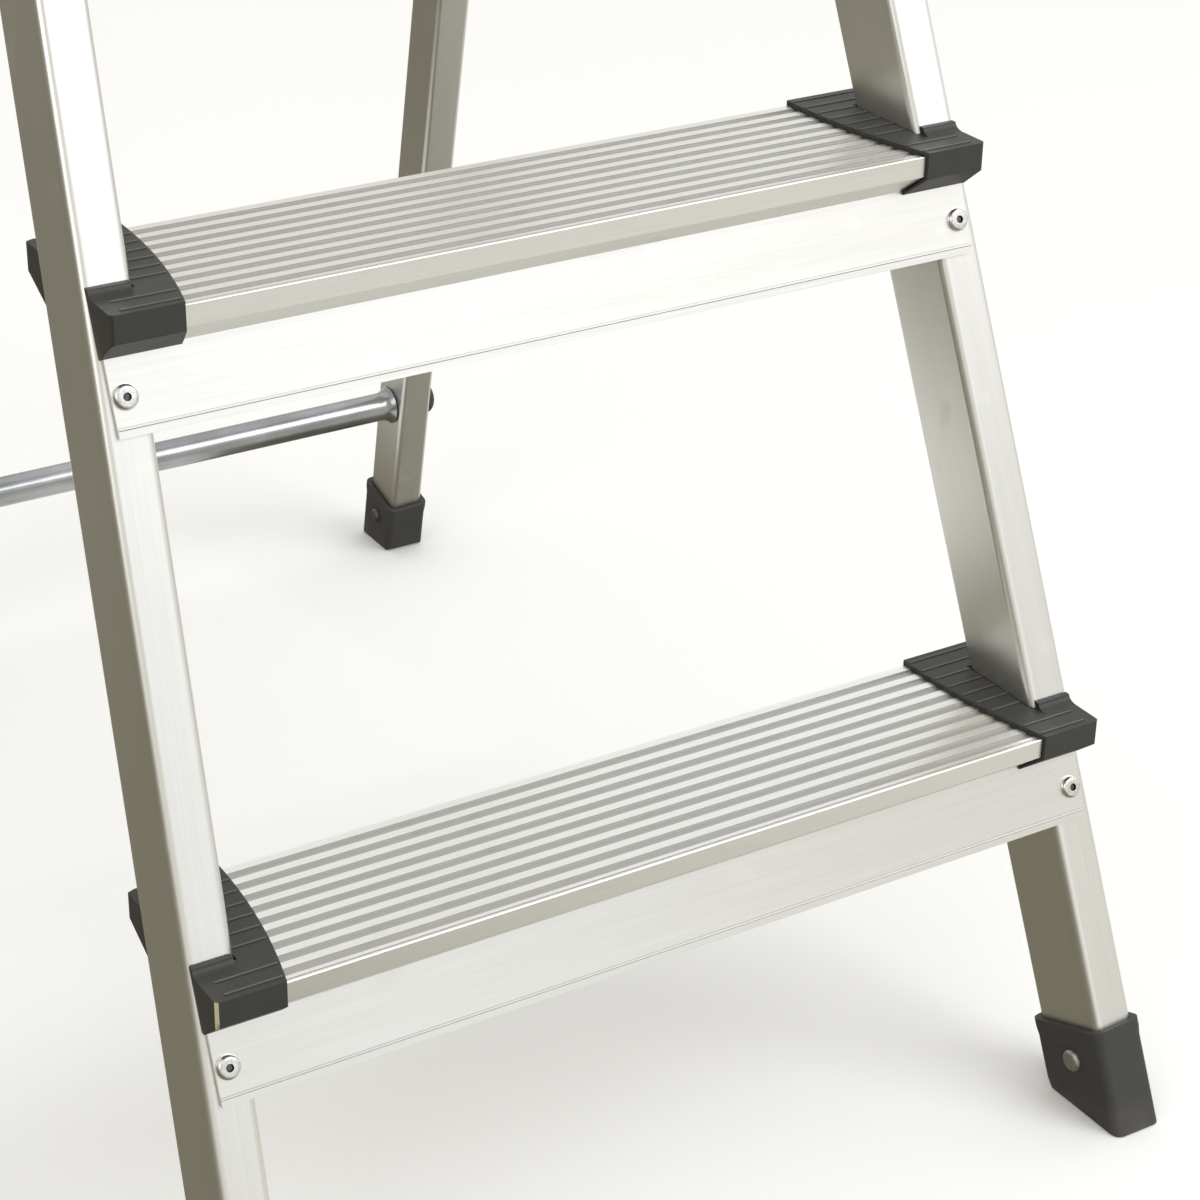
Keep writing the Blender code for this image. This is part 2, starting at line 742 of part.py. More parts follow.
def rubber_boot(name, frame, section, middle_y, top, socket_floor, heel_at, axis=None):
    """A boot over a tube's end, cut level with the floor. heel_at is its bevelled lower corner."""
    width, depth, radius = section
    outer = [width + 2 * BOOT_WALL, depth + 2 * BOOT_WALL, radius + BOOT_WALL / 3]
    shape = bmesh.new()
    rings = []
    levels = (
        (0, -top),
        (0, top - 2 * RIM_HEIGHT),
        (RIM_GROW, top - RIM_HEIGHT),
        (RIM_GROW, top),
    )
    for grow, z in levels:
        ring = rounded_rectangle(outer[0] + 2 * grow, outer[1] + 2 * grow, outer[2] + grow)
        rings.append([shape.verts.new((x, y + middle_y, z)) for x, y in ring])
    shape.faces.new(rings[0])
    shape.faces.new(rings[-1])
    for low, high in zip(rings, rings[1:]):
        for here in range(len(low)):
            there = (here + 1) % len(low)
            shape.faces.new((low[here], low[there], high[there], high[here]))
    bmesh.ops.recalc_face_normals(shape, faces=shape.faces)
    to_frame = frame.inverted()
    for point, normal in ((Vector((0, 0, 0)), Vector((0, 0, -1))), heel_at):
        cut_face(shape, to_frame @ point, to_frame.to_3x3() @ normal)
    obj = place(name, shape, frame, black_rubber(), axis)
    socket = rounded_rectangle(width + 2 * GAP, depth + 2 * GAP, radius + GAP)
    pocket = prism([(x, y + middle_y) for x, y in socket], socket_floor, top * 2)
    shape_with(obj, pocket, frame)
    return obj


def cut_face(shape, point, normal):
    """Takes off what lies beyond the plane, and closes the shape with a flat face."""
    cut = bmesh.ops.bisect_plane(
        shape,
        geom=shape.verts[:] + shape.edges[:] + shape.faces[:],
        plane_co=point,
        plane_no=normal,
        clear_outer=True,
    )
    edges = [item for item in cut["geom_cut"] if isinstance(item, bmesh.types.BMEdge)]
    bmesh.ops.edgeloop_fill(shape, edges=edges)
    bmesh.ops.recalc_face_normals(shape, faces=shape.faces)


def front_foot(name, side):
    frame = stile_frame(side)
    back_y = FRONT_Y + (STILE_DEPTH + BOOT_WALL) / math.cos(LEAN)
    heel = Vector((0, back_y - HEEL_RUN, 0))
    boot = rubber_boot(
        name,
        frame,
        (STILE_WIDTH, STILE_DEPTH, STILE_RADIUS),
        STILE_DEPTH / 2,
        FRONT_BOOT_TOP,
        STILE_START - GAP,
        (heel, Vector((0, HEEL_RISE, -HEEL_RUN - HEEL_RISE * TAN)).normalized()),
    )
    at = Matrix.Translation((-side * STILE_WIDTH / 2, FOOT_RIVET_BACK, FOOT_RIVET_LENGTH))
    hole = rod(RIVET_RADIUS + GAP, -BOOT_WALL * 2, BOOT_WALL * 2)
    shape_with(boot, hole, frame @ at @ Matrix.Rotation(math.radians(90), 4, "Y"))
    return boot


def rear_foot(name, side, axis):
    frame = rear_leg_frame(side)
    front_y = FRONT_Y + BASE_DEPTH - (LEG_DEPTH / 2 + BOOT_WALL) / math.cos(REAR_LEAN)
    toe = Vector((0, front_y + HEEL_RUN / 3, 0))
    boot = rubber_boot(
        name,
        frame,
        (LEG_WIDTH, LEG_DEPTH, LEG_RADIUS),
        0,
        REAR_BOOT_TOP,
        LEG_START - GAP,
        (toe, Vector((0, -HEEL_RUN, -HEEL_RUN)).normalized()),
        axis,
    )
    at = Matrix.Translation((-side * LEG_WIDTH / 2, 0, REAR_RIVET_LENGTH))
    hole = rod(RIVET_RADIUS + GAP, -BOOT_WALL * 2, BOOT_WALL * 2)
    shape_with(boot, hole, frame @ at @ Matrix.Rotation(math.radians(90), 4, "Y"))
    return boot


# Rear frame -----------------------------------------------------------------

LEG_OVER_HINGE = 0.012
PIN_RADIUS = 0.0040
FLARE_RADIUS = BAR_RADIUS + 0.0028
FLARE_LENGTH = 0.0040
PLUG_RADIUS = BAR_RADIUS + 0.0014
PLUG_RISE = 0.0064
PLUG_STEM = 0.0090


def bar_middle(height):
    return Vector((0, FRONT_Y + rear_leg_y(height), height))


def rear_leg(name, side, axis):
    slant = math.sqrt(1 + REAR_TAN**2 + REAR_SPLAY**2)
    end = HINGE_HEIGHT * slant + LEG_OVER_HINGE
    shape = box_tube(LEG_WIDTH, LEG_DEPTH, LEG_RADIUS, LEG_WALL, LEG_START, end)
    frame = rear_leg_frame(side)
    obj = place(name, shape, frame, satin_aluminium(), axis)
    cuts = []
    for height in (LOWER_BAR_HEIGHT, UPPER_BAR_HEIGHT):
        at = bar_middle(height) + Vector((side * rear_leg_x(height), 0, 0))
        cuts.append(moved(rod(BAR_RADIUS + GAP, -LEG_WIDTH, LEG_WIDTH, TURN_STEPS), across(at, side)))
    hinge = Vector((side * HINGE_X, FRONT_Y + HINGE_Y, HINGE_HEIGHT))
    cuts.append(moved(rod(PIN_RADIUS + GAP, -LEG_WIDTH, LEG_WIDTH, TURN_STEPS), across(hinge, side)))
    rivet = Matrix.Translation((-side * LEG_WIDTH / 2, 0, REAR_RIVET_LENGTH))
    turn = Matrix.Rotation(math.radians(90), 4, "Y")
    cuts.append(moved(rod(RIVET_RADIUS + GAP, -2 * LEG_WALL, 2 * LEG_WALL), frame @ rivet @ turn))
    shape_with(obj, joined(cuts), Matrix.Identity(4))
    return obj


def crossbar(name, middle, leg_middle_x, leg_width, axis=None, flare=True):
    """A tube through both legs, flared out against their inner faces."""
    end = leg_middle_x + leg_width / 2 + GAP
    face = leg_middle_x - leg_width / 2 - 3 * GAP
    outer = [(BAR_RADIUS, -end), (BAR_RADIUS, -face), (BAR_RADIUS, face), (BAR_RADIUS, end)]
    if flare:
        swell = [
            (FLARE_RADIUS, face),
            (FLARE_RADIUS, face - 3 * GAP),
            (BAR_RADIUS + 2 * GAP, face - FLARE_LENGTH),
            (BAR_RADIUS, face - 1.5 * FLARE_LENGTH),
        ]
        mirrored = [(radius, -along) for radius, along in swell]
        outer = [(BAR_RADIUS, -end), (BAR_RADIUS, -face), *mirrored, *reversed(swell)]
        outer += [(BAR_RADIUS, face), (BAR_RADIUS, end)]
    shape = turned(outer + [(BAR_BORE, end), (BAR_BORE, -end)])
    return place(name, shape, across(middle), zinc_tube(), axis)


def end_plug(name, middle, seat_x, side, axis=None):
    """A domed plug pushed into the open end of a crossbar."""
    head = PLUG_RADIUS
    rise = PLUG_RISE
    stem = BAR_BORE - GAP
    profile = [
        (0, rise),
        (head * 0.45, rise * 0.92),
        (head * 0.8, rise * 0.62),
        (head, rise * 0.12),
        (head, 0),
        (stem, 0),
        (stem, -PLUG_STEM),
        (0, -PLUG_STEM),
    ]
    at = Vector((side * seat_x, middle.y, middle.z))
    return place(name, turned(profile, SMALL_STEPS + 2), across(at, side), black_plastic(), axis)


def rear_frame():
    hinge = axis_empty("rear_frame_axis", (0, FRONT_Y + HINGE_Y, HINGE_HEIGHT))
    for word, side in LEFT_RIGHT:
        rear_leg(f"rear_leg_{word}", side, hinge)
        rear_foot(f"rear_foot_{word}", side, hinge)
        face = Vector((-side * (LEG_WIDTH / 2 + BOOT_WALL), 0, REAR_RIVET_LENGTH))
        side_rivet(
            f"rear_foot_rivet_{word}",
            rear_leg_frame(side),
            face,
            -side,
            BOOT_WALL + LEG_WALL,
            hinge,
            REAR_FOOT_HEAD,
        )
    for word, height in (("lower", LOWER_BAR_HEIGHT), ("upper", UPPER_BAR_HEIGHT)):
        middle = bar_middle(height)
        crossbar(f"rear_crossbar_{word}", middle, rear_leg_x(height), LEG_WIDTH, hinge)
        seat = rear_leg_x(height) + LEG_WIDTH / 2 + 3 * GAP
        for hand, side in LEFT_RIGHT:
            end_plug(f"crossbar_plug_{word}_{hand}", middle, seat, side, hinge)


# Hinge brackets -------------------------------------------------------------

BRACKET_WALL = 0.0030
BRACKET_DROP = 0.048  # of its lower edge below the hinge, along the stile
LOBE_RADIUS = 0.0175
LOBE_TOP_RADIUS = 0.0238  # where the lobe runs up to the bracket's top
LOBE_STEPS = 8
LOBE_TOP_STEPS = 3
COLLAR_HEIGHT = 0.032
COLLAR_WALL = 0.0028
RAIL_RIVET_RISE = 0.01984  # above the stile's end
PIN_HEAD_RADIUS = 0.0070
PIN_HEAD_RISE = 0.0026
LEG_ROOM = 0.0206  # round the hinge, cleared by the leg's upper end


def bracket_outline():
    """Seen from the side, as Y and Z of the stile, with the hinge at the origin of Z."""
    front = -GAP - BRACKET_WALL
    top = STILE_END - HINGE_LENGTH + GAP + BRACKET_WALL
    points = [(front, -BRACKET_DROP), (front, top), (STILE_DEPTH + BRACKET_WALL, top)]
    for step in range(LOBE_STEPS + 1):
        angle = math.radians(75 - step * 150 / LOBE_STEPS)
        lobe = LOBE_TOP_RADIUS if step < LOBE_TOP_STEPS else LOBE_RADIUS
        points.append((HINGE_BACK + lobe * math.cos(angle), lobe * math.sin(angle)))
    return points + [(STILE_DEPTH + GAP + BRACKET_WALL, -BRACKET_DROP)]


def hinge_bracket(name, side):
    """A moulding round the top of the stile. It carries the leg's hinge and the guard rail."""
    frame = stile_frame(side) @ Matrix.Translation((0, 0, HINGE_LENGTH))
    half = STILE_WIDTH / 2 + GAP + BRACKET_WALL
    obj = place(name, sideways_prism(bracket_outline(), -half, half), frame, black_plastic())
    stile_top = STILE_END - HINGE_LENGTH
    collar_top = stile_top + COLLAR_HEIGHT
    collar = rod(RAIL_RADIUS + GAP + COLLAR_WALL, stile_top + 2 * GAP, collar_top, TURN_STEPS)
    shape_with(obj, collar, frame @ Matrix.Translation((0, STILE_DEPTH / 2, 0)), "UNION")
    room = STILE_WIDTH / 2 + GAP
    sleeve = box((-room, room), (-GAP, STILE_DEPTH + GAP), (-1.5 * BRACKET_DROP, stile_top + GAP))
    shape_with(obj, sleeve, frame)
    slot = box(
        (-room - GAP, room + GAP),
        (STILE_DEPTH + GAP + BRACKET_WALL, 2 * HINGE_BACK),
        (-2 * BRACKET_DROP, LEG_ROOM),
    )
    shape_with(obj, slot, frame)
    socket = rod(RAIL_RADIUS + GAP, stile_top + GAP + BRACKET_WALL, 2 * collar_top, TURN_STEPS)
    shape_with(obj, socket, frame @ Matrix.Translation((0, STILE_DEPTH / 2, 0)))
    hinge = Vector((side * HINGE_X, FRONT_Y + HINGE_Y, HINGE_HEIGHT))
    pin_hole = rod(PIN_RADIUS + GAP, -2 * half, 2 * half, TURN_STEPS)
    shape_with(obj, pin_hole, across(hinge, side))
    return obj


def bracket_details(obj, side):
    """The two rivet holes in the moulding's outer side, below and above the stile's end."""
    frame = stile_frame(side)
    sideways = Matrix.Rotation(math.radians(90), 4, "Y")
    reach = 2 * BRACKET_WALL
    holes = []
    for x, length in (
        (STILE_WIDTH / 2, HINGE_LENGTH - BRACKET_RIVET_DROP),
        (RAIL_RADIUS, rail_rivet_length()),
    ):
        at = Matrix.Translation((side * x, STILE_DEPTH / 2, length))
        holes.append(moved(rod(RIVET_RADIUS + GAP, -reach, reach), at @ sideways))
    shape_with(obj, joined(holes), frame)


def rail_rivet_length():
    return STILE_END + RAIL_RIVET_RISE


def hinge_pin(name, side):
    half = STILE_WIDTH / 2 + GAP + BRACKET_WALL + 2 * GAP
    head = PIN_HEAD_RADIUS
    rise = PIN_HEAD_RISE
    profile = [
        (0, half + rise),
        (head * 0.6, half + rise * 0.9),
        (head, half + rise * 0.4),
        (head, half),
        (PIN_RADIUS, half),
        (PIN_RADIUS, -half),
        (head, -half),
        (head, -half - rise * 0.4),
        (head * 0.6, -half - rise * 0.9),
        (0, -half - rise),
    ]
    hinge = Vector((side * HINGE_X, FRONT_Y + HINGE_Y, HINGE_HEIGHT))
    return place(name, turned(profile, SMALL_STEPS), across(hinge, side), rivet_metal())


# Guard rail -----------------------------------------------------------------

BEND_STEPS = 7
RAIL_STEPS = 18


def rail_point(x, height):
    """On the plane through the middles of both stiles, level with a height on their front faces."""
    middle = BACK * (STILE_DEPTH / 2)
    return Vector((x, FRONT_Y, 0)) + middle + UP * (height / math.cos(LEAN))


def rail_leg_x(height):
    return FOOT_HALF_WIDTH - STILE_WIDTH / 2 - SPLAY * height


def rail_path():
    """Right half of the rail's centre line, from its foot to the top bend's end."""
    foot = (STILE_END + 2 * GAP + BRACKET_WALL) / SLANT
    top = RAIL_HEIGHT - RAIL_RADIUS + STILE_DEPTH / 2 * math.sin(LEAN)
    tilt = math.atan(SPLAY * math.cos(LEAN))
    bend_height = top - RAIL_BEND * math.cos(LEAN)
    start_height = bend_height - RAIL_BEND * math.sin(tilt) * math.cos(LEAN)
    bend_x = rail_leg_x(start_height) - RAIL_BEND * math.cos(tilt)
    points = [rail_point(rail_leg_x(foot), foot)]
    for step in range(BEND_STEPS + 1):
        angle = -tilt + (math.pi / 2 + tilt) * step / BEND_STEPS
        x = bend_x + RAIL_BEND * math.cos(angle)
        points.append(rail_point(x, bend_height + RAIL_BEND * math.sin(angle) * math.cos(LEAN)))
    return points


def guard_rail():
    right = rail_path()
    left = [Vector((-point.x, point.y, point.z)) for point in reversed(right)]
    path = right + left
    sections = []
    for index, point in enumerate(path):
        before = path[max(index - 1, 0)]
        after = path[min(index + 1, len(path) - 1)]
        ahead = (after - before).normalized()
        outwards = ahead.cross(BACK).normalized()
        rings = []
        for radius in (RAIL_RADIUS, RAIL_RADIUS - RAIL_WALL):
            ring = []
            for step in range(RAIL_STEPS):
                angle = 2 * math.pi * step / RAIL_STEPS
                ring.append(point + radius * (math.cos(angle) * outwards + math.sin(angle) * BACK))
            rings.append(ring)
        sections.append(rings)
    obj = place("guard_rail", pipe(sections), Matrix.Identity(4), satin_aluminium())
    for _, side in LEFT_RIGHT:
        at = Matrix.Translation((side * RAIL_RADIUS, STILE_DEPTH / 2, rail_rivet_length()))
        sideways = Matrix.Rotation(math.radians(90), 4, "Y")
        hole = rod(RIVET_RADIUS + GAP, -2 * RAIL_WALL, 2 * RAIL_WALL)
        shape_with(obj, hole, stile_frame(side) @ at @ sideways)
    return obj


# Platform -------------------------------------------------------------------

PLANK_DEPTH = 0.080
PLANK_SPACE = 0.0010
FRAME_WALL = 0.0060
FRAME_LIP = 0.0090  # how far the side frame reaches over and under the planks
LEDGE = 0.0034
PLANK_HEIGHT = 0.0130
HUB_RADIUS = BAR_RADIUS + 0.0050
HOOK_DEPTH = 0.0060
SPACER_RADIUS = BAR_RADIUS + 0.0032
SIDE_CORNER = 0.0040  # bevel at the ends of the side frames


def platform_frame():
    return Matrix.Translation((0, FRONT_Y + PIVOT_Y, PIVOT_HEIGHT))


def plank_front(number):
    return -PLATFORM_FRONT + CAP_WALL * 2 + GAP + number * (PLANK_DEPTH + PLANK_SPACE)


def platform_rear():
    return plank_front(PLANK_COUNT) - PLANK_SPACE + GAP + CAP_WALL * 2


def plank(name, number, axis):
    front = plank_front(number)
    rear = front + PLANK_DEPTH
    top = PLATFORM_PIVOT_DROP
    under = -RIB_HEIGHT - PLATE
    outline = rib_line(front=front, depth=PLANK_DEPTH) + [
        (rear, -PLANK_HEIGHT),
        (rear - TREAD_WALL, -PLANK_HEIGHT),
        (rear - TREAD_WALL, under),
        (front + TREAD_WALL, under),
        (front + TREAD_WALL, -PLANK_HEIGHT),
        (front, -PLANK_HEIGHT),
    ]
    outline = front_groove(front) + outline[1:]
    raised = [(y, z + top) for y, z in outline]
    half = PLATFORM_HALF_WIDTH - FRAME_WALL - GAP
    return place(name, sideways_prism(raised, -half, half), platform_frame(), ribbed_aluminium(), axis)


def bar_in_platform():
    """The upper rear crossbar, seen from the platform's pivot, as Y and Z."""
    return Vector((rear_leg_y(UPPER_BAR_HEIGHT) - PIVOT_Y, UPPER_BAR_HEIGHT - PIVOT_HEIGHT))


def side_outline():
    """The side frame from the side: a long bar with a hub in front and a hook behind the middle."""
    top = PLATFORM_PIVOT_DROP + CAP_TOP
    low = PLATFORM_PIVOT_DROP - PLANK_HEIGHT - GAP - LEDGE
    front, rear = -PLATFORM_FRONT, platform_rear()
    bar = bar_in_platform()
    reach = BAR_RADIUS + GAP
    soft = SIDE_CORNER
    points = [(front, low + soft), (front, top - soft), (front + soft, top)]
    points += [(rear - soft, top), (rear, top - soft), (rear, low + soft), (rear - soft, low)]
    points += [
        (bar.x + reach + 2 * HOOK_DEPTH, low),
        (bar.x + reach + HOOK_DEPTH, bar.y - reach),
        (bar.x + reach + HOOK_DEPTH / 2, bar.y - reach - HOOK_DEPTH / 4),
        (bar.x + reach, bar.y - reach),
    ]
    for step in range(7):
        angle = math.radians(90 * step / 6)
        points.append((bar.x + reach * math.cos(angle), bar.y + reach * math.sin(angle)))
    points += [(bar.x - HOOK_DEPTH, bar.y + reach), (bar.x - 2 * HOOK_DEPTH, low)]
    for step in range(13):
        angle = math.radians(20 - 220 * step / 12)
        points.append((HUB_RADIUS * math.cos(angle), HUB_RADIUS * math.sin(angle)))
    return points + [(front + soft, low)]


def platform_side(name, side, axis):
    inner, outer = PLATFORM_HALF_WIDTH - FRAME_WALL - FRAME_LIP, PLATFORM_HALF_WIDTH
    shape = sideways_prism(side_outline(), inner, outer)
    if side < 0:
        moved(shape, Matrix.Diagonal((-1, 1, 1, 1)))
    obj = place(name, shape, platform_frame(), black_plastic(), axis)
    channel = box(
        sorted((side * (inner - FRAME_LIP), side * (outer - FRAME_WALL))),
        (plank_front(0) - GAP, platform_rear() - CAP_WALL * 2),
        (PLATFORM_PIVOT_DROP - PLANK_HEIGHT - GAP, PLATFORM_PIVOT_DROP + GAP),
    )
    shape_with(obj, channel, platform_frame())
    bore = rod(BAR_RADIUS + GAP, inner - FRAME_LIP, outer + FRAME_LIP, TURN_STEPS)
    shape_with(obj, bore, platform_frame() @ across(Vector(), side))
    return obj


def spacer(name, side):
    """A bush on the pivot tube, between the platform and the stile."""
    start = PLATFORM_HALF_WIDTH + GAP
    end = stile_outer_x(PIVOT_HEIGHT) - STILE_WIDTH - SPACER_RADIUS * SPLAY - 2 * GAP
    bore = BAR_RADIUS + GAP
    shape = turned([(bore, start), (SPACER_RADIUS, start), (SPACER_RADIUS, end), (bore, end)])
    at = Vector((0, FRONT_Y + PIVOT_Y, PIVOT_HEIGHT))
    return place(name, shape, across(at, side), black_plastic())


def platform():
    pivot = axis_empty("platform_axis", (0, FRONT_Y + PIVOT_Y, PIVOT_HEIGHT))
    for number in range(PLANK_COUNT):
        plank(f"platform_plank_{number + 1}", number, pivot)
    for word, side in LEFT_RIGHT:
        platform_side(f"platform_side_{word}", side, pivot)


def platform_pivot():
    """The tube the platform turns on, through both stiles."""
    middle = Vector((0, FRONT_Y + PIVOT_Y, PIVOT_HEIGHT))
    stile_middle = stile_outer_x(PIVOT_HEIGHT) - STILE_WIDTH / 2
    crossbar("platform_pivot_tube", middle, stile_middle, STILE_WIDTH + 4 * GAP, flare=False)
    seat = stile_middle + STILE_WIDTH / 2 + 4 * GAP
    for word, side in LEFT_RIGHT:
        spacer(f"platform_spacer_{word}", side)
        end_plug(f"pivot_plug_{word}", middle, seat, side)


# Assembly -------------------------------------------------------------------


def front_frame():
    for number, height in enumerate(tread_heights(), 1):
        tread(f"tread_{number}", height)
    tread_caps()
    tread_rivets()
    for word, side in LEFT_RIGHT:
        stile(f"stile_{word}", side)
        front_foot(f"front_foot_{word}", side)
        face = Vector((-side * (STILE_WIDTH / 2 + BOOT_WALL), FOOT_RIVET_BACK, FOOT_RIVET_LENGTH))
        side_rivet(
            f"front_foot_rivet_{word}",
            stile_frame(side),
            face,
            -side,
            BOOT_WALL + STILE_WALL,
            head=FRONT_FOOT_HEAD,
        )
        bracket = hinge_bracket(f"hinge_bracket_{word}", side)
        bracket_details(bracket, side)
        hinge_pin(f"hinge_pin_{word}", side)
        outside = STILE_WIDTH / 2 + GAP + BRACKET_WALL
        at = Vector((side * outside, STILE_DEPTH / 2, HINGE_LENGTH - BRACKET_RIVET_DROP))
        grip = BRACKET_WALL + GAP + STILE_WALL
        side_rivet(f"bracket_rivet_{word}", stile_frame(side), at, side, grip)
        outside = RAIL_RADIUS + GAP + COLLAR_WALL
        at = Vector((side * outside, STILE_DEPTH / 2, rail_rivet_length()))
        grip = COLLAR_WALL + 4 * GAP + RAIL_WALL
        side_rivet(f"rail_rivet_{word}", stile_frame(side), at, side, grip)
    guard_rail()


clear_scene()
front_frame()
rear_frame()
platform()
platform_pivot()
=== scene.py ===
import json
import math

import bmesh
import bpy
from mathutils import Matrix, Vector


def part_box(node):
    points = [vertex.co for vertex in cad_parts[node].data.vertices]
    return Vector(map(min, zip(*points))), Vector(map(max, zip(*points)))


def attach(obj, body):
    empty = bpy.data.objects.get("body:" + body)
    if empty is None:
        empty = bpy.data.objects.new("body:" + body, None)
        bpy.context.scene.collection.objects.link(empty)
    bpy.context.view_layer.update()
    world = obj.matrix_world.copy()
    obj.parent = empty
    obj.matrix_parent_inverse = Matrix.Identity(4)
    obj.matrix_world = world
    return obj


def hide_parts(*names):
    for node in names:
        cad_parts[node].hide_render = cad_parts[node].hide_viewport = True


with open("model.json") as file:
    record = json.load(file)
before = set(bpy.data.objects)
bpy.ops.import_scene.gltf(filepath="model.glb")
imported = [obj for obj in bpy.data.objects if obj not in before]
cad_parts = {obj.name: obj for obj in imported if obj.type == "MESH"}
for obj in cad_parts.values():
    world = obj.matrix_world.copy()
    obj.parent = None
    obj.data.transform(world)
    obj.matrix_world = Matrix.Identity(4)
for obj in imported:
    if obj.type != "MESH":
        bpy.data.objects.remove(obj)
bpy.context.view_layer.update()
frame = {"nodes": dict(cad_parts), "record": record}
scene = bpy.context.scene
bodyOfNode = {
    nodeName: bodyName
    for bodyName, members in frame["record"]["behaviour"]["bodies"].items()
    for nodeName in members
}
sides = {"left": -1, "right": 1}
ladder = {
    "lean": math.radians(21.2),
    "splay": 0.0552,
    "rearLean": math.radians(15.412),
    "rearSplay": 0.0475,
}
back = Vector((0, math.cos(ladder["lean"]), -math.sin(ladder["lean"])))
rearBack = Vector((0, math.cos(ladder["rearLean"]), math.sin(ladder["rearLean"])))


class Wire:
    def __init__(self, tree, socket):
        self.tree = tree
        self.socket = socket

    def maths(self, operation, first, second=None):
        made = self.tree.nodes.new("ShaderNodeMath")
        made.operation = operation
        for place, value in enumerate([first] if second is None else [first, second]):
            if isinstance(value, Wire):
                self.tree.links.new(value.socket, made.inputs[place])
            else:
                made.inputs[place].default_value = value
        return Wire(self.tree, made.outputs[0])

    def __add__(self, other):
        return self.maths("ADD", self, other)

    def __radd__(self, other):
        return self.maths("ADD", other, self)

    def __sub__(self, other):
        return self.maths("SUBTRACT", self, other)

    def __rsub__(self, other):
        return self.maths("SUBTRACT", other, self)

    def __mul__(self, other):
        return self.maths("MULTIPLY", self, other)

    def __rmul__(self, other):
        return self.maths("MULTIPLY", other, self)


class Nodes:
    def __init__(self, tree):
        self.tree = tree

    def add(self, kind, settings, sockets, output=0):
        made = self.tree.nodes.new(kind)
        for key, value in settings.items():
            if key == "stops":
                self.setStops(made.color_ramp.elements, value)
            else:
                setattr(made, key, value)
        for key, value in sockets.items():
            self.put(made.inputs[key], value)
        return Wire(self.tree, made.outputs[output])

    def setStops(self, elements, stops):
        for place, colour in stops[1:-1]:
            elements.new(place)
        for element, (place, colour) in zip(elements, stops):
            element.position = place
            element.color = (*colour, 1)

    def put(self, socket, value):
        if isinstance(value, Wire):
            self.tree.links.new(value.socket, socket)
        else:
            socket.default_value = value


class Finish(Nodes):
    def __init__(self, name):
        self.material = bpy.data.materials.new(name)
        self.material.use_nodes = True
        super().__init__(self.material.node_tree)
        self.shader = self.tree.nodes["Principled BSDF"]

    def place(self, along=None, stretch=(1, 1, 1)):
        # coordinates with Z turned to run along the extrusion, then stretched
        spot = self.add("ShaderNodeTexCoord", {}, {}, "Object")
        if along is not None:
            turn = Vector(along).rotation_difference(Vector((0, 0, 1))).to_euler()
            spot = self.add("ShaderNodeMapping", {}, {"Vector": spot, "Rotation": turn})
        return self.add("ShaderNodeMapping", {}, {"Vector": spot, "Scale": stretch})

    def noise(self, spot, scale, detail=2.0):
        sockets = {"Vector": spot, "Scale": scale, "Detail": detail, "Roughness": 0.55}
        return self.add("ShaderNodeTexNoise", {}, sockets)

    def clamp(self, value, low, high):
        sockets = {"Value": value, "From Min": low, "From Max": high, "To Min": 0.0, "To Max": 1.0}
        return self.add("ShaderNodeMapRange", {"clamp": True}, sockets)

    def blend(self, amount, first, second):
        ends = [end if isinstance(end, Wire) else (*end, 1) for end in (first, second)]
        sockets = {0: amount, 6: ends[0], 7: ends[1]}
        return self.add("ShaderNodeMix", {"data_type": "RGBA"}, sockets, 2)

    def bump(self, height, strength, distance):
        sockets = {"Height": height, "Strength": strength, "Distance": distance}
        self.put(self.shader.inputs["Normal"], self.add("ShaderNodeBump", {}, sockets))

    def look(self, **values):
        names = {"colour": "Base Color", "roughness": "Roughness", "metallic": "Metallic"}
        for key, value in values.items():
            if key == "colour" and not isinstance(value, Wire):
                value = (*value, 1)
            self.put(self.shader.inputs[names[key]], value)
        return self.material


aluminiumLook = {
    "light": (0.87, 0.865, 0.845),
    "dark": (0.80, 0.795, 0.77),
    "roughness": 0.31,
    "streakScale": 1400.0,
    "patchScale": 14.0,
    "scuffScale": 55.0,
}


def aluminium(name, along, brightness=1.0, rougher=0.0):
    # extruded and satin anodised: fine die lines along the profile, faint patches and scuffs
    made = Finish(name)
    streaks = made.noise(made.place(along, (1, 1, 0.012)), aluminiumLook["streakScale"], 3.0)
    lines = made.noise(made.place(along, (1, 1, 0.004)), aluminiumLook["streakScale"] / 4, 2.0)
    patches = made.noise(made.place(along, (1, 1, 0.25)), aluminiumLook["patchScale"], 4.0)
    scuffs = made.clamp(made.noise(made.place(None), aluminiumLook["scuffScale"], 8.0), 0.60, 0.72)
    tone = made.clamp(0.60 * streaks + 0.12 * lines + 0.28 * patches, 0.35, 0.70)
    dark = [part * brightness for part in aluminiumLook["dark"]]
    light = [part * brightness for part in aluminiumLook["light"]]
    colour = made.blend(tone, dark, light)
    colour = made.blend(0.10 * scuffs, colour, [part * 0.85 for part in dark])
    rough = aluminiumLook["roughness"] + rougher - 0.04
    made.bump(streaks, 0.07, 0.0003)
    return made.look(
        colour=colour,
        roughness=rough + 0.06 * streaks + 0.03 * patches + 0.08 * scuffs,
        metallic=1.0,
    )


zincLook = {
    "light": (0.46, 0.47, 0.48),
    "dark": (0.30, 0.31, 0.32),
    "roughness": 0.18,
    "cloudScale": 60.0,
    "drawnScale": 1100.0,
}


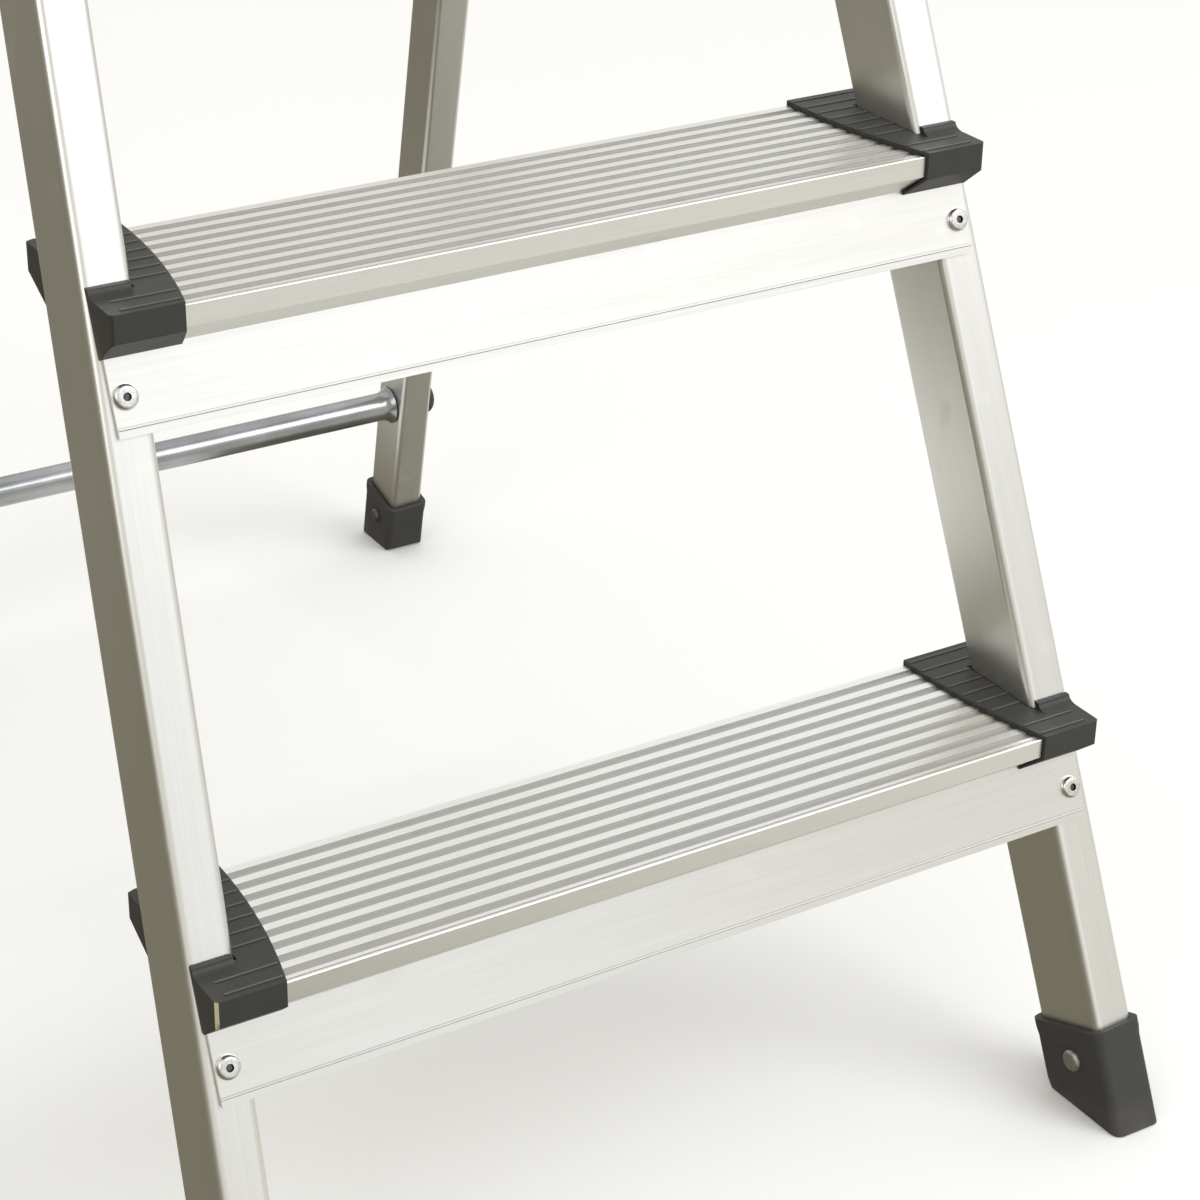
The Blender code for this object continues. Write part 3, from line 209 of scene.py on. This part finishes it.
def zinc(name):
    made = Finish(name)
    cloud = made.noise(made.place((1, 0, 0), (1, 1, 0.5)), zincLook["cloudScale"], 5.0)
    drawn = made.noise(made.place((1, 0, 0), (1, 1, 0.01)), zincLook["drawnScale"], 2.0)
    made.bump(drawn, 0.06, 0.0003)
    tone = made.clamp(0.7 * cloud + 0.3 * drawn, 0.35, 0.7)
    return made.look(
        colour=made.blend(tone, zincLook["dark"], zincLook["light"]),
        roughness=zincLook["roughness"] + 0.14 * cloud,
        metallic=1.0,
    )


rivetLook = {
    "light": (0.88, 0.87, 0.85),
    "dark": (0.66, 0.65, 0.63),
    "roughness": 0.20,
    "dentScale": 900.0,
}


def rivetMetal(name, shade=1.0, rougher=0.0):
    made = Finish(name)
    dents = made.noise(made.place(None), rivetLook["dentScale"], 3.0)
    made.bump(dents, 0.07, 0.0002)
    dark = [part * shade for part in rivetLook["dark"]]
    light = [part * shade for part in rivetLook["light"]]
    return made.look(
        colour=made.blend(made.clamp(dents, 0.35, 0.65), dark, light),
        roughness=rivetLook["roughness"] + rougher + 0.16 * dents,
        metallic=1.0,
    )


plasticLook = {
    "light": (0.034, 0.034, 0.031),
    "dark": (0.020, 0.020, 0.019),
    "scraped": (0.42, 0.38, 0.24),
    "roughness": 0.34,
    "grainScale": 2600.0,
    "glossScale": 70.0,
    "chipScale": 220.0,
}


def plastic(name, lift=1.0, smoother=0.0):
    # spark-eroded mould grain, with slow changes of gloss
    made = Finish(name)
    grain = made.noise(made.place(None), plasticLook["grainScale"], 3.0)
    gloss = made.noise(made.place(None), plasticLook["glossScale"], 3.0)
    made.bump(grain, 0.16, 0.0004)
    dark = [part * lift for part in plasticLook["dark"]]
    light = [part * lift for part in plasticLook["light"]]
    return made.look(
        colour=made.blend(0.5 * grain + 0.5 * gloss, dark, light),
        roughness=plasticLook["roughness"] - smoother + 0.12 * grain + 0.12 * gloss,
        metallic=0.0,
    )


rubberLook = {
    "light": (0.045, 0.044, 0.043),
    "dark": (0.026, 0.026, 0.025),
    "dust": (0.15, 0.14, 0.12),
    "dustHeight": 0.016,
    "roughness": 0.52,
    "grainScale": 1500.0,
    "cloudScale": 45.0,
}


def rubber(name, lift=1.0):
    made = Finish(name)
    grain = made.noise(made.place(None), rubberLook["grainScale"], 5.0)
    cloud = made.noise(made.place(None), rubberLook["cloudScale"], 4.0)
    spot = made.add("ShaderNodeTexCoord", {}, {}, "Object")
    height = made.add("ShaderNodeSeparateXYZ", {}, {"Vector": spot}, 2)
    low = 1 - made.clamp(height, 0.0, rubberLook["dustHeight"])
    dusty = low * made.clamp(cloud, 0.35, 0.75)
    dark = [part * lift for part in rubberLook["dark"]]
    light = [part * lift for part in rubberLook["light"]]
    colour = made.blend(0.5 * grain + 0.5 * cloud, dark, light)
    made.bump(0.7 * grain + 0.3 * cloud, 0.30, 0.0005)
    return made.look(
        colour=made.blend(0.35 * dusty, colour, rubberLook["dust"]),
        roughness=rubberLook["roughness"] + 0.14 * grain + 0.18 * dusty,
        metallic=0.0,
    )


def wornPlastic(name):
    # a knocked edge, scraped down to paler material in places
    made = Finish(name)
    chips = made.clamp(made.noise(made.place(None), plasticLook["chipScale"], 6.0), 0.26, 0.44)
    made.bump(chips, 0.3, 0.0004)
    return made.look(
        colour=made.blend(chips, plasticLook["light"], plasticLook["scraped"]),
        roughness=0.42 + 0.2 * chips,
        metallic=0.0,
    )


stileAlong = {
    word: (-side * ladder["splay"], math.tan(ladder["lean"]), 1) for word, side in sides.items()
}
finishes = {
    "treadSatin": aluminium("treadSatin", (1, 0, 0)),
    # rib tops: a lighter copy of the aluminium, painted highlight; grooves: a darker, rougher copy,
    # painted shade
    "treadRibHighlight": aluminium("treadRibHighlight", (1, 0, 0), 1.12, 0.02),
    "treadGrooveShade": aluminium("treadGrooveShade", (1, 0, 0), 0.68, 0.22),
    "railSatin": aluminium("railSatin", stileAlong["right"]),
    # a lighter, glossier copy for the rounded edge strips: painted highlight
    "edgeHighlight": aluminium("edgeHighlight", (1, 0, 0), 1.10, -0.08),
    # a darker copy of the aluminium for the rear legs: painted shade
    "legSatinShade": aluminium("legSatinShade", (0, -math.tan(ladder["rearLean"]), 1), 0.86, 0.04),
    "zincPlate": zinc("zincPlate"),
    "rivetBright": rivetMetal("rivetBright"),
    # a near-black copy of the rivet metal for the bores: painted shade
    "rivetBoreShade": rivetMetal("rivetBoreShade", 0.16),
    "rivetDull": rivetMetal("rivetDull", 0.62, 0.22),
    # a much darker, rougher copy of the rivet metal, used on the rear foot rivets
    "rivetDarkest": rivetMetal("rivetDarkest", 0.22, 0.30),
    "capPlastic": plastic("capPlastic"),
    # paler, glossier rounded edges of the mouldings: painted highlight
    "capEdgeHighlight": plastic("capEdgeHighlight", 2.6, 0.08),
    # paler tops of the raised cap lines: painted highlight
    "capLineHighlight": plastic("capLineHighlight", 3.4, 0.04),
    "capWorn": wornPlastic("capWorn"),
    "bootRubber": rubber("bootRubber"),
    # lighter rounded boot edges: painted highlight
    "bootEdgeHighlight": rubber("bootEdgeHighlight", 1.5),
}
for word in sides:
    finishes[f"stileSatin{word}"] = aluminium(f"stileSatin{word}", stileAlong[word])
print("finishes made")


def alone(piece):
    if bpy.context.mode != "OBJECT":
        bpy.ops.object.mode_set(mode="OBJECT")
    bpy.ops.object.select_all(action="DESELECT")
    piece.select_set(True)
    bpy.context.view_layer.objects.active = piece


def chooseFaces(piece, test):
    # selects in edit mode, by place or normal
    mesh = bmesh.from_edit_mesh(piece.data)
    bpy.context.tool_settings.mesh_select_mode = (False, False, True)
    for face in mesh.faces:
        face.select_set(bool(test(face)))
    bmesh.update_edit_mesh(piece.data)


def applyModifier(piece, kind, **settings):
    alone(piece)
    modifier = piece.modifiers.new(kind.title(), kind)
    for key, value in settings.items():
        setattr(modifier, key, value)
    bpy.ops.object.modifier_apply(modifier=modifier.name)


def smooth(piece, degrees=28):
    # a flat face keeps its own normal, so a rounded edge doesn't shade across it
    alone(piece)
    bpy.ops.object.shade_smooth_by_angle(angle=math.radians(degrees))
    applyModifier(piece, "WEIGHTED_NORMAL", mode="FACE_AREA", weight=50, keep_sharp=True)


def standFor(piece, nodeName):
    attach(piece, bodyOfNode[nodeName])
    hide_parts(nodeName)
    return piece


def copyOfNode(nodeName, pieceName):
    source = frame["nodes"][nodeName]
    mesh = source.data.copy()
    piece = bpy.data.objects.new(pieceName, mesh)
    scene.collection.objects.link(piece)
    mesh.materials.clear()
    alone(piece)
    bpy.ops.object.mode_set(mode="EDIT")
    bpy.ops.mesh.select_all(action="SELECT")
    bpy.ops.mesh.remove_doubles(threshold=0.000002)
    bpy.ops.mesh.dissolve_limited(angle_limit=math.radians(0.6))
    bpy.ops.object.mode_set(mode="OBJECT")
    return piece


def softened(nodeName, finishNames, width, segments=2, angle=32):
    # the CAD shape with its sharp edges rounded, the rounded strips in the last finish
    piece = copyOfNode(nodeName, f"{nodeName}_finished")
    for finishName in finishNames:
        piece.data.materials.append(finishes[finishName])
    applyModifier(
        piece,
        "BEVEL",
        width=width,
        segments=segments,
        limit_method="ANGLE",
        angle_limit=math.radians(angle),
        material=len(finishNames) - 1,
        use_clamp_overlap=True,
        miter_outer="MITER_SHARP",
    )
    smooth(piece)
    return standFor(piece, nodeName)


tubes = {"edge": 0.0004}
# the tubes' rounded edge strips are painted lighter and glossier, as painted highlight
for word in sides:
    softened(f"stile_{word}", [f"stileSatin{word}", "edgeHighlight"], tubes["edge"])
    softened(f"rear_leg_{word}", ["legSatinShade", "edgeHighlight"], tubes["edge"])
softened("guard_rail", ["railSatin", "edgeHighlight"], tubes["edge"])
print("tubes done")


treadLook = {
    "edge": 0.00016,
    "ribs": 0.0004,
    "grooves": 0.0013,
    "up": 0.95,
    "wall": 0.6,
    "noseClear": 0.004,
    "hem": (0.0018, 0.0042),
    "hemHeight": 0.0012,
    "front": -0.2,
}


def heightOf(face):
    heights = [corner.co.z for corner in face.verts]
    return max(heights) - min(heights)


def giveFinish(piece, slot, test):
    chooseFaces(piece, test)
    piece.active_material_index = slot
    bpy.ops.object.material_slot_assign()


def ribbed(nodeName):
    # rib tops in a lighter copy of the finish, as painted highlight; the grooves, the ribs' walls and
    # the bead above the hem in a darker, rougher copy, as painted shade
    low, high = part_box(nodeName)
    ribLevel = high.z - treadLook["ribs"]
    grooveLevel = high.z - treadLook["grooves"]
    hemLow, hemHigh = treadLook["hem"]

    def onRib(face):
        return face.normal.z > treadLook["up"] and face.calc_center_median().z > ribLevel

    def inGroove(face):
        facesUp = face.normal.z > treadLook["up"]
        return facesUp and grooveLevel < face.calc_center_median().z < ribLevel

    def onWall(face):
        middle = face.calc_center_median()
        behindNose = middle.y > low.y + treadLook["noseClear"]
        return abs(face.normal.y) > treadLook["wall"] and middle.z > grooveLevel and behindNose

    def onBead(face):
        narrow = heightOf(face) < treadLook["hemHeight"] and face.normal.y < treadLook["front"]
        return narrow and low.z + hemLow < face.calc_center_median().z < low.z + hemHigh

    piece = copyOfNode(nodeName, f"{nodeName}_finished")
    for finishName in ("treadSatin", "treadRibHighlight", "treadGrooveShade"):
        piece.data.materials.append(finishes[finishName])
    alone(piece)
    bpy.ops.object.mode_set(mode="EDIT")
    giveFinish(piece, 1, onRib)
    giveFinish(piece, 2, inGroove)
    giveFinish(piece, 2, onWall)
    giveFinish(piece, 2, onBead)
    applyModifier(
        piece,
        "BEVEL",
        width=treadLook["edge"],
        segments=2,
        limit_method="ANGLE",
        angle_limit=math.radians(35),
        material=-1,
        use_clamp_overlap=True,
    )
    smooth(piece)
    return standFor(piece, nodeName)


for number in (1, 2, 3):
    ribbed(f"tread_{number}")
    ribbed(f"platform_plank_{number}")
print("treads done")


mouldings = {
    "cap": 0.0006,
    "bracket": 0.0010,
    "side": 0.0004,
    "spacer": 0.0005,
    "boot": 0.0012,
    "pin": 0.0003,
}
capLines = {"above": 0.0018, "proud": 0.00035, "slack": 0.00022, "width": 0.0014}


def paintLineHighlights(nodeName):
    # the thin raised lines across a cap are painted paler than the rest, as painted highlight
    piece = bpy.data.objects[f"{nodeName}_finished"]
    number = int(nodeName[-1])
    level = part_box(f"tread_{number}")[1].z + capLines["above"] + capLines["proud"]
    piece.data.materials.append(finishes["capLineHighlight"])
    points = piece.data.vertices
    for polygon in piece.data.polygons:
        depths = [points[corner].co.y for corner in polygon.vertices]
        narrow = max(depths) - min(depths) < capLines["width"]
        if narrow and abs(polygon.center.z - level) < capLines["slack"]:
            polygon.material_index = 2


# the rounded edges of the mouldings are painted paler, as painted highlight
for word in sides:
    for number in (1, 2, 3):
        softened(f"tread_cap_{word}_{number}", ["capPlastic", "capEdgeHighlight"], mouldings["cap"])
        paintLineHighlights(f"tread_cap_{word}_{number}")
    softened(f"hinge_bracket_{word}", ["capPlastic", "capEdgeHighlight"], mouldings["bracket"])
    softened(f"platform_side_{word}", ["capPlastic", "capEdgeHighlight"], mouldings["side"])
    softened(f"platform_spacer_{word}", ["capPlastic", "capEdgeHighlight"], mouldings["spacer"])
    # the boots' rounded edges are painted lighter, as painted highlight
    softened(f"front_foot_{word}", ["bootRubber", "bootEdgeHighlight"], mouldings["boot"], 3)
    softened(f"rear_foot_{word}", ["bootRubber", "bootEdgeHighlight"], mouldings["boot"], 3)
print("mouldings done")


def nodePoints(nodeName):
    return [point.co.copy() for point in frame["nodes"][nodeName].data.vertices]


def spanAlong(nodeName, axis):
    # a point on the node's axis, and how far it reaches each way along it
    points = nodePoints(nodeName)
    axis = axis.normalized()
    reach = [point.dot(axis) for point in points]
    flat = [point - axis * point.dot(axis) for point in points]
    low = Vector([min(point[i] for point in flat) for i in range(3)])
    high = Vector([max(point[i] for point in flat) for i in range(3)])
    return (low + high) / 2, min(reach), max(reach)


def widestAlong(nodeName, axis, middle):
    axis = axis.normalized()
    return max((point - axis * point.dot(axis) - middle).length for point in nodePoints(nodeName))


def settle(piece, middle, axis, along):
    # lays a piece modelled upwards from the origin on its axis
    turn = Vector((0, 0, 1)).rotation_difference(axis.normalized()).to_matrix().to_4x4()
    piece.data.transform(Matrix.Translation(middle + axis.normalized() * along) @ turn)
    piece.data.update()


def upright(name, steps, radius, depth, level):
    # a cylinder standing on Z, its place in its mesh
    bpy.ops.object.select_all(action="DESELECT")
    bpy.ops.mesh.primitive_cylinder_add(
        vertices=steps, radius=radius, depth=depth, location=(0, 0, level))
    piece = bpy.context.object
    piece.name = name
    piece.data.transform(piece.matrix_world)
    piece.matrix_world = Matrix.Identity(4)
    return piece


rivetShape = {
    "steps": 40,
    "seat": 0.0022,
    "shank": 0.0024,
    "bore": 0.0016,
    "mandrel": 0.0010,
    "roll": 0.8,
    "boreDeep": 0.62,
    "mandrelUp": 0.30,
    "dish": 0.18,
    "dishRise": 0.02,
}


def roundHead(name, radius, rise, hollow):
    # a turned head, its rim rolled over, with the mandrel sunk in its bore
    piece = upright(name, rivetShape["steps"], radius, rise, rise / 2)
    bpy.ops.object.mode_set(mode="EDIT")
    chooseFaces(piece, lambda face: face.normal.z > 0.9)
    bpy.ops.mesh.bevel(
        offset=rise * rivetShape["roll"], offset_pct=0, segments=5, profile=0.5, affect="EDGES")
    chooseFaces(piece, lambda face: face.normal.z > 0.999 and len(face.verts) > 8)
    if hollow:
        rim = radius - rise * rivetShape["roll"] - rivetShape["bore"]
        bpy.ops.mesh.inset(thickness=max(rim, 0.0001))
        sunk = -rise * rivetShape["boreDeep"]
        bpy.ops.mesh.extrude_region_move(TRANSFORM_OT_translate={"value": (0, 0, sunk)})
        bpy.ops.mesh.inset(thickness=rivetShape["bore"] - rivetShape["mandrel"])
        lifted = rise * rivetShape["mandrelUp"]
        bpy.ops.mesh.extrude_region_move(TRANSFORM_OT_translate={"value": (0, 0, lifted)})
    else:
        bpy.ops.mesh.inset(thickness=radius * rivetShape["dish"])
        bpy.ops.transform.translate(value=(0, 0, rise * rivetShape["dishRise"]))
    bpy.ops.object.mode_set(mode="OBJECT")
    return piece


def addShank(piece, reach):
    # carries the underside of the head down into the work
    alone(piece)
    bpy.ops.object.mode_set(mode="EDIT")
    chooseFaces(piece, lambda face: face.normal.z < -0.9 and face.calc_center_median().z < 1e-5)
    bpy.ops.mesh.inset(thickness=piece.dimensions.x / 2 - rivetShape["shank"])
    bpy.ops.mesh.extrude_region_move(TRANSFORM_OT_translate={"value": (0, 0, -reach)})
    bpy.ops.object.mode_set(mode="OBJECT")


def rivet(nodeName, axis, hollow, finishName="rivetBright"):
    middle, low, high = spanAlong(nodeName, axis)
    radius = widestAlong(nodeName, axis, middle)
    rise = rivetShape["seat"]
    piece = roundHead(f"{nodeName}_finished", radius, rise, hollow)
    addShank(piece, (high - low) - rise)
    settle(piece, middle, axis, high - rise)
    piece.data.materials.append(finishes[finishName])
    piece.data.materials.append(finishes["rivetBoreShade"])
    # the bore walls and the sunk mandrel take the near-black copy, as painted shade
    if hollow:
        face = axis.normalized()
        crown = middle + face * high
        for polygon in piece.data.polygons:
            away = polygon.center - crown
            depth = -away.dot(face)
            offAxis = (away - face * away.dot(face)).length
            if rise * 0.15 < depth < rise and offAxis < rivetShape["bore"] * 1.02:
                polygon.material_index = 1
    smooth(piece, 35)
    return standFor(piece, nodeName)


for word, side in sides.items():
    sideways = back.cross(Vector(stileAlong[word]).normalized())
    legAlong = Vector((-side * ladder["rearSplay"], -math.tan(ladder["rearLean"]), 1))
    rearSideways = rearBack.cross(legAlong.normalized())
    for number in (1, 2, 3):
        rivet(f"tread_rivet_{word}_{number}", -back, True)
    rivet(f"front_foot_rivet_{word}", sideways * -side, False, "rivetDull")
    rivet(f"bracket_rivet_{word}", sideways * side, False)
    rivet(f"rail_rivet_{word}", sideways * side, False)
    rivet(f"rear_foot_rivet_{word}", rearSideways * -side, False, "rivetDarkest")
    softened(f"hinge_pin_{word}", ["rivetBright"], mouldings["pin"])
print("rivets done")

plugShape = {"steps": 56, "rings": 9, "height": 0.0064, "dome": 0.0054, "stem": 0.69}


def endPlug(nodeName, side):
    # a moulded dome with a thin lip, seated over the end of the tube
    axis = Vector((side, 0, 0))
    middle, low, high = spanAlong(nodeName, axis)
    radius = widestAlong(nodeName, axis, middle)
    height = plugShape["height"]
    piece = upright(f"{nodeName}_finished", plugShape["steps"], radius, height, height / 2)
    bpy.ops.object.mode_set(mode="EDIT")
    chooseFaces(piece, lambda face: face.normal.z > 0.9)
    bpy.ops.mesh.bevel(
        offset=plugShape["dome"], segments=plugShape["rings"], profile=0.5, affect="EDGES")
    chooseFaces(piece, lambda face: face.normal.z < -0.9)
    bpy.ops.mesh.inset(thickness=radius * (1 - plugShape["stem"]))
    bpy.ops.mesh.extrude_region_move(TRANSFORM_OT_translate={"value": (0, 0, height - (high - low))})
    bpy.ops.object.mode_set(mode="OBJECT")
    settle(piece, middle, axis, high - height)
    piece.data.materials.append(finishes["capPlastic"])
    smooth(piece, 40)
    return standFor(piece, nodeName)


for word, side in sides.items():
    endPlug(f"crossbar_plug_lower_{word}", side)
    endPlug(f"crossbar_plug_upper_{word}", side)
    endPlug(f"pivot_plug_{word}", side)
print("plugs done")


barShape = {
    "steps": 72,
    "radius": 0.008,
    "bore": 0.0068,
    "flare": 0.0108,
    "flareLength": 0.0075,
    "flareSteps": 8,
    "flareCurve": 2.6,
    "legGap": 0.0012,
    "legWidth": 0.019,
    "neck": 0.0004,
}


def chooseRing(piece, level):
    mesh = bmesh.from_edit_mesh(piece.data)
    bpy.context.tool_settings.mesh_select_mode = (True, False, False)
    bpy.ops.mesh.select_all(action="DESELECT")
    for point in mesh.verts:
        if abs(point.co.z - level) < 1e-6:
            point.select_set(True)
    mesh.select_flush_mode()
    bmesh.update_edit_mesh(piece.data)


def flareEnds(piece, face):
    # the wall swells out towards each leg, ring by ring
    for ring in range(barShape["flareSteps"]):
        share = 1 - ring / barShape["flareSteps"]
        swell = 1 + (barShape["flare"] / barShape["radius"] - 1) * share ** barShape["flareCurve"]
        inset = barShape["flareLength"] * (1 - share)
        for end in (-1, 1):
            chooseRing(piece, end * (face - inset))
            bpy.ops.transform.resize(value=(swell, swell, 1), center_override=(0, 0, 0))


def flareCuts(face):
    spread = [barShape["flareLength"] * step / barShape["flareSteps"]
              for step in range(barShape["flareSteps"] + 1)]
    return [end * (face - inset) for inset in (*spread, -barShape["neck"]) for end in (-1, 1)]


def roundBar(nodeName, flared):
    low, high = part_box(nodeName)
    half = (high.x - low.x) / 2
    middle = (low + high) / 2
    face = half - barShape["legWidth"] - barShape["legGap"]  # inner face of the leg
    piece = upright(f"{nodeName}_finished", barShape["steps"], barShape["radius"], 2 * half, 0)
    bpy.ops.object.mode_set(mode="EDIT")
    for cut in flareCuts(face) if flared else [0.0]:
        bpy.ops.mesh.select_all(action="SELECT")
        bpy.ops.mesh.bisect(plane_co=(0, 0, cut), plane_no=(0, 0, 1))
    if flared:
        flareEnds(piece, face)
    # the ends are opened, and tunnel() joins their rims through the bore
    chooseFaces(piece, lambda f: abs(f.normal.z) > 0.9 and abs(f.calc_center_median().z) > half - 1e-5)
    bpy.ops.mesh.inset(thickness=barShape["radius"] - barShape["bore"], use_individual=True)
    bpy.ops.mesh.delete(type="FACE")
    bpy.ops.mesh.select_all(action="DESELECT")
    bpy.ops.object.mode_set(mode="OBJECT")
    tunnel(piece)
    turn = Matrix.Rotation(math.radians(90), 4, "Y")
    piece.data.transform(Matrix.Translation(middle) @ turn)
    piece.data.materials.append(finishes["zincPlate"])
    smooth(piece, 50)
    return standFor(piece, nodeName)


def tunnel(piece):
    # joins the two open rims through the tube, so the bar is a closed shell with a bore
    alone(piece)
    bpy.ops.object.mode_set(mode="EDIT")
    mesh = bmesh.from_edit_mesh(piece.data)
    bpy.context.tool_settings.mesh_select_mode = (False, True, False)
    for edge in mesh.edges:
        edge.select_set(edge.is_boundary)
    bmesh.update_edit_mesh(piece.data)
    bpy.ops.mesh.bridge_edge_loops()
    bpy.ops.mesh.select_all(action="SELECT")
    bpy.ops.mesh.remove_doubles(threshold=0.000001)
    bpy.ops.mesh.normals_make_consistent(inside=False)
    bpy.ops.object.mode_set(mode="OBJECT")


roundBar("rear_crossbar_lower", True)
roundBar("rear_crossbar_upper", True)
roundBar("platform_pivot_tube", False)
print("crossbars done")


knock = {"node": "tread_cap_left_1", "across": 0.0042, "deep": 0.0016}


def knockedEdge():
    low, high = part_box(knock["node"])
    piece = bpy.data.objects[f"{knock['node']}_finished"]
    piece.data.materials.append(finishes["capWorn"])
    worn = len(piece.data.materials) - 1
    for polygon in piece.data.polygons:
        middle = polygon.center
        atCorner = middle.x < low.x + knock["across"] and middle.y < low.y + knock["deep"]
        if atCorner and polygon.normal.x < -0.25 and polygon.normal.y < -0.2:
            polygon.material_index = worn


knockedEdge()
print("worn corner done")


studio = {
    "floorSize": 14.0,
    "floorColour": (0.97, 0.97, 0.965),
    "worldStrength": 1.0,
    "brightSide": (0.6, -0.1, 1.0),
}
roomColours = (  # from low on the left to high on the right
    (0.0, (0.20, 0.184, 0.130)),
    (0.28, (0.23, 0.215, 0.165)),
    (0.45, (0.86, 0.84, 0.77)),
    (0.70, (0.70, 0.68, 0.61)),
    (0.79, (0.80, 0.79, 0.74)),
    (0.86, (1.0, 1.0, 1.0)),
)
bounceCard = {
    "corners": ((-0.20, 0.08, 0.001), (0.14, 0.08, 0.001), (-0.28, 0.56, 0.001), (0.06, 0.56, 0.001)),
    "colour": (1.0, 0.98, 0.93),
    "glow": 0.95,
}
whiteCard = {
    "corners": ((0.10, -1.75, 0.05), (0.78, -1.75, 0.05), (0.10, -1.75, 1.40), (0.78, -1.75, 1.40)),
    "colour": (0.97, 0.99, 1.0),
    "glow": 1.0,
}


def floor():
    bpy.ops.object.select_all(action="DESELECT")
    bpy.ops.mesh.primitive_plane_add(size=studio["floorSize"], location=(0, 0, -0.0005))
    piece = bpy.context.object
    piece.name = "studio_floor"
    made = Finish("studioFloor")
    tone = made.noise(made.place(None), 3.0, 2.0)
    pale = [part * 0.985 for part in studio["floorColour"]]
    made.look(colour=made.blend(tone, pale, studio["floorColour"]), roughness=0.9, metallic=0.0)
    piece.data.materials.append(made.material)
    piece.visible_glossy = False  # the tubes mirror the room and not the paper under them


def reflectorCard(name, card):
    # a small glowing card that shows only in reflections
    bpy.ops.object.select_all(action="DESELECT")
    bpy.ops.mesh.primitive_plane_add(size=1, location=(0, 0, 0))
    piece = bpy.context.object
    piece.name = name
    for point, corner in zip(piece.data.vertices, card["corners"]):
        point.co = corner
    made = Finish(name)
    made.put(made.shader.inputs["Base Color"], (0, 0, 0, 1))
    made.put(made.shader.inputs["Emission Color"], (*card["colour"], 1))
    made.put(made.shader.inputs["Emission Strength"], card["glow"])
    piece.data.materials.append(made.material)
    piece.visible_camera = False
    piece.visible_diffuse = False
    piece.visible_shadow = False


keySoftbox = {"place": (1.6, -2.4, 2.6), "target": (0.0, 0.0, 0.5), "size": (2.2, 1.8), "power": 42.0}
fillSoftbox = {"place": (-2.6, -1.6, 1.8), "target": (0.0, 0.0, 0.4), "size": (1.8, 1.6), "power": 14.0}


def softbox(name, box):
    lamp = bpy.data.lights.new(name, "AREA")
    lamp.shape = "RECTANGLE"
    lamp.size, lamp.size_y = box["size"]
    lamp.energy = box["power"]
    holder = bpy.data.objects.new(name, lamp)
    scene.collection.objects.link(holder)
    holder.location = box["place"]
    ahead = Vector(box["target"]) - Vector(box["place"])
    holder.rotation_euler = ahead.to_track_quat("-Z", "Y").to_euler()


def room():
    # white high on the right, dark and warm low on the left, with a pale band between
    world = bpy.data.worlds.new("studioRoom")
    world.use_nodes = True
    scene.world = world
    made = Nodes(world.node_tree)
    light = made.tree.nodes["Background"]
    spot = made.add("ShaderNodeTexCoord", {}, {}, "Generated")
    sockets = {0: spot, 1: studio["brightSide"]}
    towards = made.add("ShaderNodeVectorMath", {"operation": "DOT_PRODUCT"}, sockets, "Value")
    ramp = made.add("ShaderNodeValToRGB", {"stops": roomColours}, {"Fac": towards * 0.5 + 0.5})
    made.put(light.inputs["Color"], ramp)
    made.put(light.inputs["Strength"], studio["worldStrength"])


view = {
    "place": (-0.54885, -1.10200, 0.79760),
    "yaw": math.radians(31.98),
    "pitch": math.radians(27.55),
    "roll": math.radians(1.02),
    "lens": 89.357,
    "sensor": 36.0,
}


def camera():
    lens = bpy.data.cameras.new("studioCamera")
    lens.lens = view["lens"]
    lens.sensor_width = view["sensor"]
    lens.sensor_fit = "HORIZONTAL"
    lens.clip_start, lens.clip_end = 0.05, 60.0
    holder = bpy.data.objects.new("studioCamera", lens)
    scene.collection.objects.link(holder)
    across, level = math.cos(view["pitch"]), view["yaw"]
    ahead = Vector((math.sin(level) * across, math.cos(level) * across, -math.sin(view["pitch"])))
    right = Vector((math.cos(level), -math.sin(level), 0))
    up = right.cross(ahead)
    tiltedRight = math.cos(view["roll"]) * right + math.sin(view["roll"]) * up
    tiltedUp = -math.sin(view["roll"]) * right + math.cos(view["roll"]) * up
    turn = Matrix((tiltedRight, tiltedUp, -ahead)).transposed()
    holder.location = view["place"]
    holder.rotation_mode = "QUATERNION"
    holder.rotation_quaternion = turn.to_quaternion()
    scene.camera = holder


floor()
room()
reflectorCard("bounceCard", bounceCard)
reflectorCard("whiteCard", whiteCard)
softbox("keySoftbox", keySoftbox)
softbox("fillSoftbox", fillSoftbox)
camera()
scene.view_settings.view_transform = "Standard"
print("studio set")
